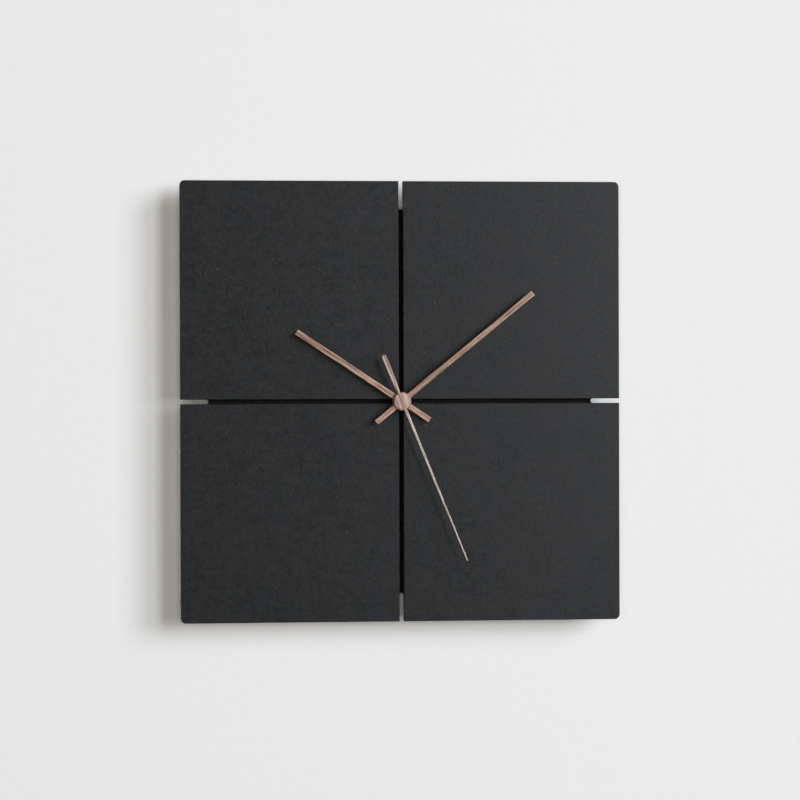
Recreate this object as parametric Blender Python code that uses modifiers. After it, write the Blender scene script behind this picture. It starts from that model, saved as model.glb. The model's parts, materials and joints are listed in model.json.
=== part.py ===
"""Square wall clock: one grooved black panel, three hands and a quartz movement behind it.

Metres, +Z up. The wall is the plane y = 0, the clock hangs on its -Y side and the origin is the
nail that it hangs from. Every piece is drawn as it is seen from the front: its own x is to the
right, its own y is up and its own z is the distance off the wall. The empty clock_frame turns
that drawing frame upright, and further empties under it stand on the axes of the wheels.
"""
import math

import bmesh
import bpy
from mathutils import Vector

MM = 0.001

# Hanging point and the levels of the main layers, as distances off the wall
HANG_DROP = 38.0 * MM            # the hands' axis is this far below the nail
CASE_BACK = 1.0 * MM
CASE_FRONT = 16.5 * MM
PANEL_BACK = 19.4 * MM
GAP = 0.3 * MM                   # left between pieces that rest on each other
WELD = 0.001 * MM                # points closer than this are one point

# Panel: one board with a routed cross and a slot at 12, 3, 6 and 9 o'clock
PANEL_SIDE = 300.0 * MM
PANEL_THICKNESS = 8.0 * MM
PANEL_CORNER = 3.4 * MM
PANEL_ARRIS = 0.3 * MM           # chamfer that eases the panel's edges
SLOT_WIDTH = 3.1 * MM
SLOT_LENGTH = 19.0 * MM
GROOVE_WIDTH = 3.0 * MM
GROOVE_DEPTH = 5.5 * MM
PANEL_HOLE_RADIUS = 4.4 * MM
PANEL_FRONT = PANEL_BACK + PANEL_THICKNESS

# Bumpers that keep the panel parallel to the wall
BUMPER_SPAN = 125.0 * MM         # from the hands' axis to each bumper, across and up
BUMPER_RADIUS_WALL = 6.0 * MM
BUMPER_RADIUS_PANEL = 7.5 * MM
BUMPER_WELL_RADIUS = 3.3 * MM
BUMPER_FLOOR = 5.5 * MM          # rubber between the screw head and the panel
BUMPER_SCREW_RADIUS = 1.4 * MM
BUMPER_SCREW_BITE = 4.8 * MM

# Hanger bracket and the parts that clamp it and the movement to the panel
BRACKET_SHEET = 1.0 * MM
KEYHOLE_SLOT_RADIUS = 1.8 * MM
KEYHOLE_ENTRY_RADIUS = 4.2 * MM
KEYHOLE_ENTRY_DROP = 6.0 * MM
GASKET_RADIUS = 11.0 * MM
GASKET_THICKNESS = 1.0 * MM
WASHER_RADIUS = 6.0 * MM
WASHER_THICKNESS = 0.5 * MM
NUT_RADIUS = 5.6 * MM
NUT_HEIGHT = 2.2 * MM

# Hands: angle is clockwise from 12 o'clock, at about 10:08:26
HOUR_HAND = {"angle": 303.5, "tip": 85.5 * MM, "tail": 22.9 * MM, "width": 3.7 * MM}
MINUTE_HAND = {"angle": 50.7, "tip": 116.0 * MM, "tail": 22.6 * MM, "width": 3.6 * MM}
SECOND_HAND = {"angle": 157.9, "tip": 117.0 * MM, "tail": 34.0 * MM}
SECOND_ARM_WIDTHS = (1.8 * MM, 1.0 * MM)       # at the hub and at the tip
SECOND_TAIL_WIDTHS = (1.7 * MM, 3.0 * MM)      # at the hub and from the shoulder on
SECOND_TAIL_SHOULDER = 16.0 * MM
HAND_THICKNESS = 0.5 * MM
HAND_EDGE = 0.12 * MM
HOUR_HUB_RADIUS = 6.2 * MM
MINUTE_HUB_RADIUS = 6.3 * MM
SECOND_HUB_RADIUS = 5.5 * MM
HOUR_HAND_LEVEL = 32.2 * MM
MINUTE_HAND_LEVEL = 34.4 * MM
SECOND_HAND_LEVEL = 37.1 * MM

# Concentric tubes through the panel
BUSHING_RADIUS = 4.0 * MM
BUSHING_SHANK_RADIUS = 3.4 * MM
BUSHING_BORE = 2.8 * MM
BUSHING_END = 31.1 * MM
HOUR_TUBE = (1.75 * MM, 2.5 * MM)              # inner and outer radius
CANNON_TUBE = (0.75 * MM, 1.45 * MM)
SECOND_ARBOR_RADIUS = 0.4 * MM
FIT = 0.15 * MM                                # radial play round a shaft

# Movement case
CASE_SIDE = 56.0 * MM
CASE_CORNER = 2.0 * MM
CASE_WALL = 1.2 * MM
CASE_FLOOR = 1.4 * MM
BAY_TOP = -12.2 * MM             # upper side of the battery bay
ROOM_BOTTOM = -11.2 * MM         # lower side of the wheel room
COVER_BACK = 2.6 * MM
COVER_THICKNESS = 1.2 * MM
MIDDLE_PLATE = (8.0 * MM, 8.8 * MM)
POST_X = 23.4 * MM
POST_TOP_Y = 23.4 * MM
POST_BOTTOM_Y = -7.8 * MM
POST_RADII = (2.6 * MM, 1.9 * MM)              # in front of the middle plate and behind it
COVER_SCREW_RADIUS = 0.8 * MM
COVER_SCREW_LENGTH = 5.0 * MM
CONTACT_RUN_TOP = 6.5 * MM
BATTERY_RADIUS = 7.0 * MM
BATTERY_LENGTH = 48.6 * MM
BATTERY_Y = -19.5 * MM

# Wheel train: teeth, module and the levels that each toothed disc fills
CENTRE_TEETH, THIRD_PINION_TEETH, CENTRE_MODULE = 48, 6, 0.40 * MM
THIRD_TEETH, SECOND_PINION_TEETH = 45, 6
SECOND_TEETH, MIDDLE_PINION_TEETH, SECOND_MODULE = 30, 6, 0.40 * MM
MIDDLE_TEETH, ROTOR_PINION_TEETH, ROTOR_MODULE = 36, 6, 1 / 3 * MM
CANNON_TEETH, MINUTE_TEETH, MOTION_MODULE = 10, 30, 0.576 * MM
MINUTE_PINION_TEETH, HOUR_TEETH = 8, 32
THIRD_DISTANCE = (CENTRE_TEETH + THIRD_PINION_TEETH) * CENTRE_MODULE / 2
THIRD_MODULE = 2 * THIRD_DISTANCE / (THIRD_TEETH + SECOND_PINION_TEETH)
MIDDLE_DISTANCE = (SECOND_TEETH + MIDDLE_PINION_TEETH) * SECOND_MODULE / 2
ROTOR_DISTANCE = (MIDDLE_TEETH + ROTOR_PINION_TEETH) * ROTOR_MODULE / 2
SETTING_DISTANCE = (CANNON_TEETH + MINUTE_TEETH) * MOTION_MODULE / 2
HOUR_MODULE = 2 * SETTING_DISTANCE / (MINUTE_PINION_TEETH + HOUR_TEETH)
THIRD_BEARING = math.radians(60)               # direction of each axis from the one before it
MIDDLE_BEARING = math.radians(100)
ROTOR_BEARING = math.radians(80)
SETTING_BEARING = math.radians(165)
# each tooth: addendum and dedendum in modules, then its width at root and tip in pitches
WHEEL_TOOTH = (0.90, 1.20, 0.52, 0.22)
PINION_TOOTH = (0.80, 1.25, 0.48, 0.16)
HOUR_WHEEL_LEVELS = (14.0 * MM, 14.8 * MM)
MINUTE_WHEEL_LEVELS = (12.6 * MM, 13.4 * MM)
MINUTE_PINION_TOP = 14.9 * MM
CANNON_LEVELS = (12.4 * MM, 13.6 * MM)
CENTRE_WHEEL_LEVELS = (11.5 * MM, 12.1 * MM)
THIRD_PINION_LEVELS = (11.2 * MM, 12.4 * MM)
THIRD_WHEEL_LEVELS = (9.6 * MM, 10.3 * MM)
SECOND_PINION_LEVELS = (9.3 * MM, 10.6 * MM)
SECOND_WHEEL_LEVELS = (6.8 * MM, 7.5 * MM)
MIDDLE_PINION_TOP = 7.6 * MM
MIDDLE_WHEEL_LEVELS = (5.3 * MM, 5.9 * MM)
ROTOR_PINION_BOTTOM = 5.0 * MM
SECOND_WHEEL_HUB = 1.2 * MM
THIRD_WHEEL_HUB = 0.8 * MM
SETTING_ARBOR_RADIUS = 0.9 * MM
SETTING_HOLE_RADIUS = 1.15 * MM
PIVOT_RADIUS = 0.4 * MM
FINE_PIVOT_RADIUS = 0.35 * MM
PIVOT_BITE = 0.6 * MM            # how far a pivot stands in its hole
JOIN = 0.3 * MM                  # overlap of shapes that are joined into one piece
TUBE_PROUD = 0.2 * MM            # how far a tube stands out of its hand
KNOB_LEVELS = (0.9 * MM, 2.3 * MM)
KNOB_RADIUS = 4.8 * MM
KNOB_RIBS = 20
COVER_PIVOT_LEVEL = COVER_BACK + COVER_THICKNESS - 0.2 * MM
PLATE_PIVOT_LEVEL = MIDDLE_PLATE[1] - 0.1 * MM
CASE_PIVOT_LEVEL = CASE_FRONT - CASE_FLOOR + PIVOT_BITE

# Motor
STATOR_LEVELS = (6.9 * MM, 7.7 * MM)
STATOR_RING_RADIUS = 5.2 * MM
ROTOR_HOLE_RADIUS = 3.2 * MM
MAGNET_RADII = (1.15 * MM, 2.7 * MM)
LEG_INNER_X = 12.6 * MM
LEG_OUTER_X = 16.2 * MM
YOKE_HALF_WIDTH = 2.4 * MM
COIL_Y = 22.6 * MM
COIL_Z = 8.4 * MM
COIL_HALF_LENGTH = 10.0 * MM

FINISHES = {
    # colour, roughness, metallic
    "black_board": ((0.028, 0.029, 0.031), 0.75, 0.0),
    "copper_metal": ((0.50, 0.29, 0.20), 0.38, 1.0),
    "black_plastic": ((0.020, 0.020, 0.022), 0.45, 0.0),
    "white_plastic": ((0.80, 0.80, 0.76), 0.40, 0.0),
    "natural_plastic": ((0.62, 0.58, 0.46), 0.40, 0.0),
    "red_plastic": ((0.45, 0.04, 0.03), 0.40, 0.0),
    "black_rubber": ((0.015, 0.015, 0.015), 0.85, 0.0),
    "brass": ((0.72, 0.50, 0.20), 0.30, 1.0),
    "zinc_steel": ((0.62, 0.63, 0.64), 0.32, 1.0),
    "spring_steel": ((0.70, 0.70, 0.70), 0.25, 1.0),
    "soft_iron": ((0.45, 0.45, 0.46), 0.40, 1.0),
    "magnet": ((0.06, 0.06, 0.065), 0.55, 0.3),
    "copper_wire": ((0.60, 0.22, 0.08), 0.30, 1.0),
    "circuit_green": ((0.02, 0.14, 0.06), 0.45, 0.0),
    "black_epoxy": ((0.012, 0.012, 0.013), 0.25, 0.0),
    "ceramic": ((0.45, 0.30, 0.16), 0.50, 0.0),
    "battery_sleeve": ((0.05, 0.06, 0.08), 0.30, 0.0),
}


# ---------------------------------------------------------------- scene and materials

def clear_scene():
    for obj in list(bpy.data.objects):
        bpy.data.objects.remove(obj, do_unlink=True)


def new_collection(name):
    collection = bpy.data.collections.new(name)
    bpy.context.scene.collection.children.link(collection)
    return collection


def finish_material(name, finish):
    colour, roughness, metallic = FINISHES[finish]
    material = bpy.data.materials.new(name)
    material.use_nodes = True
    shader = material.node_tree.nodes["Principled BSDF"]
    shader.inputs["Base Color"].default_value = (*colour, 1.0)
    shader.inputs["Roughness"].default_value = roughness
    shader.inputs["Metallic"].default_value = metallic
    return material


def new_empty(name, parent, location, rotation=(0, 0, 0)):
    empty = bpy.data.objects.new(name, None)
    empty.empty_display_size = 10 * MM
    PARTS.objects.link(empty)
    empty.parent = parent
    empty.location = location
    empty.rotation_euler = rotation
    return empty


def place(obj, parent, location, rotation):
    obj.parent = parent
    obj.location = location
    obj.rotation_euler = rotation
    return obj


def add_piece(name, mesh, finish, parent, location=(0, 0, 0), rotation=(0, 0, 0)):
    """A piece of the clock, with a material of its own."""
    mesh.name = name
    piece = bpy.data.objects.new(name, mesh)
    PARTS.objects.link(piece)
    piece.data.materials.append(finish_material(name, finish))
    return place(piece, parent, location, rotation)


def add_tool(mesh, parent, location=(0, 0, 0), rotation=(0, 0, 0)):
    """A solid that only cuts, or is joined to, a piece."""
    tool = bpy.data.objects.new("tool_" + mesh.name, mesh)
    CUTTERS.objects.link(tool)
    tool.hide_render = True
    tool.display_type = "WIRE"
    return place(tool, parent, location, rotation)


def combine(piece, operation, *tools):
    for tool in tools:
        modifier = piece.modifiers.new(operation.lower() + "_" + tool.name, "BOOLEAN")
        modifier.operation = operation
        modifier.object = tool
        weld = piece.modifiers.new("weld", "WELD")
        weld.merge_threshold = WELD


def chamfer_rims(mesh, width, levels):
    """Chamfers the edges round the flat faces that lie at the given levels."""
    edit = bmesh.new()
    edit.from_mesh(mesh)
    flat = 0.99
    rims = [
        edge for edge in edit.edges
        if len(edge.link_faces) == 2
        and sum(abs(face.normal.z) > flat for face in edge.link_faces) == 1
        and any(abs(edge.verts[0].co.z - level) < WELD for level in levels)
    ]
    bmesh.ops.bevel(edit, geom=rims, offset=width, segments=1, affect="EDGES", profile=0.5)
    edit.to_mesh(mesh)
    edit.free()


# ---------------------------------------------------------------- outlines and solids

def arc(radius, start, end, steps, centre=(0, 0)):
    """Points on an arc, angles in degrees from +x, anticlockwise when end is larger."""
    points = []
    for step in range(steps + 1):
        angle = math.radians(start + (end - start) * step / steps)
        points.append((centre[0] + radius * math.cos(angle), centre[1] + radius * math.sin(angle)))
    return points


def circle(radius, steps=32, centre=(0, 0)):
    return arc(radius, 0, 360, steps, centre)[:-1]


def rounded_rectangle(x0, y0, x1, y1, radius, steps=4):
    corners = (
        (x1 - radius, y0 + radius, -90),
        (x1 - radius, y1 - radius, 0),
        (x0 + radius, y1 - radius, 90),
        (x0 + radius, y0 + radius, 180),
    )
    points = []
    for x, y, start in corners:
        points += arc(radius, start, start + 90, steps, (x, y))
    return points


def ribbon(path, thickness):
    """Outline of a strip of sheet metal seen on edge, along a path of points."""
    sides = ([], [])
    for index, point in enumerate(path):
        before = Vector(path[max(index - 1, 0)])
        after = Vector(path[min(index + 1, len(path) - 1)])
        here = Vector(point)
        incoming = (here - before).normalized() if index else (after - here).normalized()
        outgoing = (after - here).normalized() if index < len(path) - 1 else incoming
        normal_in = Vector((-incoming.y, incoming.x))
        normal_out = Vector((-outgoing.y, outgoing.x))
        mitre = (normal_in + normal_out).normalized()
        reach = thickness / 2 / max(mitre.dot(normal_in), 0.5)
        sides[0].append(tuple(here + mitre * reach))
        sides[1].append(tuple(here - mitre * reach))
    return sides[1] + sides[0][::-1]


def clean(mesh, merge_flats=False):
    """Welds a mesh, points its faces outwards and shades its round parts smooth."""
    edit = bmesh.new()
    edit.from_mesh(mesh)
    bmesh.ops.remove_doubles(edit, verts=edit.verts, dist=WELD)
    if merge_flats:
        bmesh.ops.dissolve_limit(edit, angle_limit=math.radians(0.05), verts=edit.verts, edges=edit.edges)
    bmesh.ops.recalc_face_normals(edit, faces=edit.faces)
    edit.to_mesh(mesh)
    edit.free()
    mesh.shade_smooth()
    mesh.set_sharp_from_angle(angle=math.radians(35))
    return mesh


def evaluated_mesh(obj, merge_flats=False):
    """The finished mesh of a scratch object, which is then removed."""
    bpy.context.scene.collection.objects.link(obj)
    graph = bpy.context.evaluated_depsgraph_get()
    mesh = bpy.data.meshes.new_from_object(obj.evaluated_get(graph))
    mesh.name = obj.name
    bpy.data.objects.remove(obj, do_unlink=True)
    return clean(mesh, merge_flats)


def carved_mesh(name, mesh, removed):
    """What is left of one solid when another is cut out of it."""
    block = bpy.data.objects.new(name, mesh)
    cutter = bpy.data.objects.new(name + "_cutter", removed)
    bpy.context.scene.collection.objects.link(cutter)
    combine(block, "DIFFERENCE", cutter)
    carved = evaluated_mesh(block)
    bpy.data.objects.remove(cutter, do_unlink=True)
    return carved


def flat_mesh(name, outlines, low, high):
    """A flat piece: an outline with its holes, from one level to another."""
    curve = bpy.data.curves.new(name, "CURVE")
    curve.dimensions = "2D"
    curve.fill_mode = "BOTH"
    curve.extrude = (high - low) / 2
    for outline in outlines:
        spline = curve.splines.new("POLY")
        spline.points.add(len(outline) - 1)
        spline.use_cyclic_u = True
        for point, (x, y) in zip(spline.points, outline):
            point.co = (x, y, 0, 1)
    mesh = evaluated_mesh(bpy.data.objects.new(name, curve), merge_flats=True)
    middle = (low + high) / 2
    for vertex in mesh.vertices:
        vertex.co.z += middle
    return mesh


def turned_mesh(name, profile, steps=24, ring=False):
    """A turned piece: (radius, level) points from the top down its outer side."""
    mesh = bpy.data.meshes.new(name)
    edges = [(index, index + 1) for index in range(len(profile) - 1)]
    if ring:
        edges.append((len(profile) - 1, 0))
    mesh.from_pydata([(radius, 0, level) for radius, level in profile], edges, [])
    lathe = bpy.data.objects.new(name, mesh)
    screw = lathe.modifiers.new("turn", "SCREW")
    screw.steps = steps
    screw.render_steps = steps
    screw.use_merge_vertices = True
    screw.merge_threshold = WELD
    return evaluated_mesh(lathe)


def rod_mesh(name, radius, low, high, steps=12):
    return turned_mesh(name, [(0, high), (radius, high), (radius, low), (0, low)], steps)


def tube_mesh(name, inner, outer, low, high, steps=24):
    profile = [(outer, high), (outer, low), (inner, low), (inner, high)]
    return turned_mesh(name, profile, steps, ring=True)


def box_mesh(name, low, high):
    mesh = bpy.data.meshes.new(name)
    edit = bmesh.new()
    bmesh.ops.create_cube(edit, size=1)
    for vertex in edit.verts:
        for axis in range(3):
            vertex.co[axis] = high[axis] if vertex.co[axis] > 0 else low[axis]
    edit.to_mesh(mesh)
    edit.free()
    return mesh


def gear_outline(teeth, module, tooth, phase):
    """Outline with one tooth centred on the angle phase, in radians."""
    addendum, dedendum, root_share, tip_share = tooth
    pitch_radius = teeth * module / 2
    tip = pitch_radius + addendum * module
    root = pitch_radius - dedendum * module
    pitch = math.tau / teeth
    points = []
    for index in range(teeth):
        for radius, share in ((root, -root_share), (tip, -tip_share), (tip, tip_share), (root, root_share)):
            angle = phase + (index + share / 2) * pitch
            points.append((radius * math.cos(angle), radius * math.sin(angle)))
    return points


def toothed(name, teeth, module, tooth, phase, levels, bore=None):
    outlines = [gear_outline(teeth, module, tooth, phase)]
    if bore:
        outlines.append(circle(bore, 16))
    return flat_mesh(name, outlines, *levels)


def gap_towards(angle, teeth):
    """Phase that turns a gap between two teeth towards an angle."""
    return angle + math.pi / teeth


def polar(distance, angle):
    return Vector((distance * math.cos(angle), distance * math.sin(angle)))


# ---------------------------------------------------------------- panel and wall side

def panel_quarter_outline():
    """The upper right quarter of the panel, with its halves of two round-ended slots."""
    edge = PANEL_SIDE / 2
    slot_half = SLOT_WIDTH / 2
    corner = edge - PANEL_CORNER
    slot_end = edge - SLOT_LENGTH + slot_half
    points = [(0, 0), *arc(slot_half, 180, 90, 4, (slot_end, 0)), (edge, slot_half)]
    points += arc(PANEL_CORNER, 0, 90, 6, (corner, corner))
    points += [(slot_half, edge), *arc(slot_half, 0, -90, 4, (0, slot_end))]
    return points


def groove_outline():
    """The two crossed grooves about one quarter, which run out into the slots."""
    half, past = GROOVE_WIDTH / 2, -10 * MM
    reach = PANEL_SIDE / 2 - SLOT_LENGTH + SLOT_WIDTH
    return [(past, past), (reach, past), (reach, half), (half, half), (half, reach), (past, reach)]


def open_middle(mesh):
    """Removes the faces on the two middle planes, where the mirrored quarters meet."""
    edit = bmesh.new()
    edit.from_mesh(mesh)
    seams = [
        face for face in edit.faces
        if any(all(abs(vertex.co[axis]) < WELD for vertex in face.verts) for axis in (0, 1))
    ]
    bmesh.ops.delete(edit, geom=seams, context="FACES")
    edit.to_mesh(mesh)
    edit.free()


def corner_points():
    places = {"top_left": (-1, 1), "top_right": (1, 1), "bottom_left": (-1, -1), "bottom_right": (1, -1)}
    for name, (side, height) in places.items():
        yield name, (side * BUMPER_SPAN, height * BUMPER_SPAN, 0)


def build_panel(hands_axis):
    """One quarter of the panel, cut and chamfered, then mirrored to all four."""
    board = flat_mesh("board", [panel_quarter_outline()], PANEL_BACK, PANEL_FRONT)
    grooves = flat_mesh("grooves", [groove_outline()], PANEL_FRONT - GROOVE_DEPTH, PANEL_FRONT + MM)
    bushing_hole = rod_mesh("panel_hole", PANEL_HOLE_RADIUS, PANEL_BACK - MM, PANEL_FRONT + MM, 24)
    hole_top = PANEL_BACK + BUMPER_SCREW_BITE + 2 * GAP
    screw_hole = rod_mesh("screw_hole", BUMPER_SCREW_RADIUS + 0.2 * MM, PANEL_BACK - MM, hole_top, 12)
    for vertex in screw_hole.vertices:
        vertex.co += Vector((BUMPER_SPAN, BUMPER_SPAN, 0))
    for cutter in (grooves, bushing_hole, screw_hole):
        board = carved_mesh("face_panel", board, cutter)
    open_middle(board)
    chamfer_rims(board, PANEL_ARRIS, (PANEL_BACK, PANEL_FRONT))
    panel = add_piece("face_panel", board, "black_board", hands_axis)
    mirror = panel.modifiers.new("quarters", "MIRROR")
    mirror.use_axis = (True, True, False)
    mirror.merge_threshold = WELD


def screw_mesh(name, head_radius, head_height, shank_radius, length, steps=12):
    """Pan-head screw with its head's seat at level 0, its tip at +length and its head below 0."""
    tip = [(0, length), (shank_radius * 0.45, length - 0.3 * MM), (shank_radius, length - 1.4 * MM)]
    head = [
        (shank_radius, 0), (head_radius, 0), (head_radius, -0.5 * head_height),
        (0.72 * head_radius, -0.92 * head_height), (0, -head_height),
    ]
    return turned_mesh(name, tip + head, steps)


def cross_recess(piece, parent, place_at, head_radius, head_height):
    """Cuts a cross into the head of a screw."""
    arm, width = 0.62 * head_radius, 0.11 * head_radius
    depth = 0.55 * head_height
    for reach_x, reach_y in ((arm, width), (width, arm)):
        low = (-reach_x, -reach_y, -head_height - MM)
        high = (reach_x, reach_y, -head_height + depth)
        combine(piece, "DIFFERENCE", add_tool(box_mesh("recess", low, high), parent, place_at))


def build_bumpers(hands_axis):
    top = PANEL_BACK - GAP
    seat = top - BUMPER_FLOOR
    easing = 0.8 * MM
    profile = [
        (BUMPER_RADIUS_PANEL, top), (BUMPER_RADIUS_WALL, 3 * MM), (BUMPER_RADIUS_WALL, easing),
        (BUMPER_RADIUS_WALL - easing, 0), (BUMPER_WELL_RADIUS, 0), (BUMPER_WELL_RADIUS, seat),
        (BUMPER_SCREW_RADIUS + FIT, seat), (BUMPER_SCREW_RADIUS + FIT, top),
    ]
    head_radius, head_height = 2.8 * MM, 1.7 * MM
    length = BUMPER_FLOOR + GAP + BUMPER_SCREW_BITE
    for name, place_at in corner_points():
        bumper = turned_mesh("wall_bumper_" + name, profile, 16, ring=True)
        add_piece("wall_bumper_" + name, bumper, "black_rubber", hands_axis, place_at)
        screw_at = (place_at[0], place_at[1], seat - GAP)
        screw = screw_mesh("bumper_screw", head_radius, head_height, BUMPER_SCREW_RADIUS, length)
        piece = add_piece("bumper_screw_" + name, screw, "zinc_steel", hands_axis, screw_at)
        cross_recess(piece, hands_axis, screw_at, head_radius, head_height)


def build_hanger(hands_axis):
    """Sheet bracket: held behind the panel by the bushing, bent back to a keyhole tab at the wall."""
    sheet, bend, half_width = BRACKET_SHEET, 1.2 * MM, 12 * MM
    foot_z = CASE_FRONT + GAP + sheet / 2
    tab_z = CASE_BACK + sheet / 2
    shelf_y = CASE_SIDE / 2 + 2 * MM
    foot_end, tab_end = -13 * MM, HANG_DROP + 7 * MM
    path = [
        (foot_end, foot_z), (shelf_y - bend, foot_z), (shelf_y, foot_z - bend),
        (shelf_y, tab_z + bend), (shelf_y + bend, tab_z), (tab_end, tab_z),
    ]
    strip = flat_mesh("hanger_bracket", [ribbon(path, sheet)], -half_width, half_width)
    # the strip is drawn in the (up, off the wall) plane and stood on edge
    upright = (math.pi / 2, 0, math.pi / 2)
    bracket = add_piece("hanger_bracket", strip, "zinc_steel", hands_axis, (0, 0, 0), upright)
    bushing_hole = rod_mesh("bracket_hole", BUSHING_RADIUS + GAP, CASE_FRONT - MM, PANEL_BACK, 20)
    keyhole = arc(KEYHOLE_SLOT_RADIUS, 0, 180, 10, (0, HANG_DROP))
    opening = math.degrees(math.asin(KEYHOLE_SLOT_RADIUS / KEYHOLE_ENTRY_RADIUS))
    entry_centre = (0, HANG_DROP - KEYHOLE_ENTRY_DROP)
    keyhole += arc(KEYHOLE_ENTRY_RADIUS, 90 + opening, 450 - opening, 22, entry_centre)
    keyhole_cutter = flat_mesh("keyhole", [keyhole], CASE_BACK - MM, CASE_BACK + 2 * sheet)
    combine(bracket, "DIFFERENCE", add_tool(bushing_hole, hands_axis), add_tool(keyhole_cutter, hands_axis))


# ---------------------------------------------------------------- fixing stack on the bushing

def build_fixings(hands_axis):
    hole = BUSHING_RADIUS + GAP
    shoulder = CASE_FRONT + GAP
    floor = CASE_FRONT - CASE_FLOOR
    low = shoulder + BRACKET_SHEET + GAP
    gasket = tube_mesh("rubber_gasket", hole, GASKET_RADIUS, low, low + GASKET_THICKNESS)
    add_piece("rubber_gasket", gasket, "black_rubber", hands_axis)
    bushing = turned_mesh("threaded_bushing", [
        (BUSHING_RADIUS - 0.5 * MM, BUSHING_END), (BUSHING_RADIUS, BUSHING_END - 0.5 * MM),
        (BUSHING_RADIUS, shoulder), (BUSHING_SHANK_RADIUS, shoulder), (BUSHING_SHANK_RADIUS, floor),
        (BUSHING_BORE, floor), (BUSHING_BORE, BUSHING_END),
    ], 20, ring=True)
    add_piece("threaded_bushing", bushing, "brass", hands_axis)
    low = PANEL_FRONT + GAP
    washer = tube_mesh("brass_washer", hole, WASHER_RADIUS, low, low + WASHER_THICKNESS, 20)
    add_piece("brass_washer", washer, "brass", hands_axis)
    low += WASHER_THICKNESS + GAP
    high = low + NUT_HEIGHT
    edge, bore = 0.35 * MM, BUSHING_RADIUS + FIT
    nut = turned_mesh("ring_nut", [
        (NUT_RADIUS - edge, high), (NUT_RADIUS, high - edge), (NUT_RADIUS, low), (bore, low), (bore, high),
    ], 20, ring=True)
    piece = add_piece("ring_nut", nut, "brass", hands_axis)
    reach, slot_half, slot_depth = NUT_RADIUS + MM, 0.6 * MM, 0.8 * MM
    for turn in (0, math.pi / 2):
        notch = box_mesh("nut_slot", (-reach, -slot_half, high - slot_depth), (reach, slot_half, high + MM))
        combine(piece, "DIFFERENCE", add_tool(notch, hands_axis, (0, 0, 0), (0, 0, turn)))


# ---------------------------------------------------------------- hands

def bar_and_disc(tip, tail, width, radius, steps=12):
    """Outline of a straight bar that passes over a round hub, pointing up."""
    half = width / 2
    join = math.degrees(math.acos(half / radius))
    points = [(half, -tail)]
    points += arc(radius, -join, join, steps)
    points += [(half, tip), (-half, tip)]
    points += arc(radius, 180 - join, 180 + join, steps)
    points.append((-half, -tail))
    return points


def second_outline():
    """Tapering arm with a round tip, a round hub and a paddle-shaped tail."""
    radius = SECOND_HUB_RADIUS
    arm_hub, arm_tip = (width / 2 for width in SECOND_ARM_WIDTHS)
    tail_hub, tail_end = (width / 2 for width in SECOND_TAIL_WIDTHS)
    arm_join = math.degrees(math.acos(arm_hub / radius))
    tail_join = math.degrees(math.acos(tail_hub / radius))
    points = arc(radius, -tail_join, arm_join, 12)
    points += arc(arm_tip, 0, 180, 6, (0, SECOND_HAND["tip"] - arm_tip))
    points += arc(radius, 180 - arm_join, 180 + tail_join, 12)
    points.append((-tail_end, -SECOND_TAIL_SHOULDER))
    points += arc(tail_end, 180, 360, 8, (0, -SECOND_HAND["tail"] + tail_end))
    points.append((tail_end, -SECOND_TAIL_SHOULDER))
    return points


def hand_blade(name, outlines, angle, level, hands_axis):
    mesh = flat_mesh(name, outlines, level, level + HAND_THICKNESS)
    chamfer_rims(mesh, HAND_EDGE, (level, level + HAND_THICKNESS))
    add_piece(name, mesh, "copper_metal", hands_axis, (0, 0, 0), (0, 0, -math.radians(angle)))


def build_hands(hands_axis):
    collet_height = 0.7 * MM
    for name, hand, level, radius, tube in (
        ("hour", HOUR_HAND, HOUR_HAND_LEVEL, HOUR_HUB_RADIUS, HOUR_TUBE[1]),
        ("minute", MINUTE_HAND, MINUTE_HAND_LEVEL, MINUTE_HUB_RADIUS, CANNON_TUBE[1]),
    ):
        bar = bar_and_disc(hand["tip"], hand["tail"], hand["width"], radius)
        bore = tube + FIT
        hand_blade(name + "_hand", [bar, circle(bore, 16)], hand["angle"], level, hands_axis)
        collet_top = level - FIT
        collet = tube_mesh(name + "_collet", bore, bore + MM, collet_top - collet_height, collet_top, 16)
        add_piece(name + "_collet", collet, "brass", hands_axis)
    level = SECOND_HAND_LEVEL
    hand_blade("second_hand", [second_outline()], SECOND_HAND["angle"], level, hands_axis)
    bore = SECOND_ARBOR_RADIUS + FIT
    collet = tube_mesh("second_collet", bore, 1.3 * MM, level - FIT - 1.6 * MM, level - FIT, 12)
    add_piece("second_collet", collet, "brass", hands_axis)


# ---------------------------------------------------------------- movement case

def post_places():
    for y in (POST_TOP_Y, POST_BOTTOM_Y):
        for x in (-POST_X, POST_X):
            yield x, y


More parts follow.
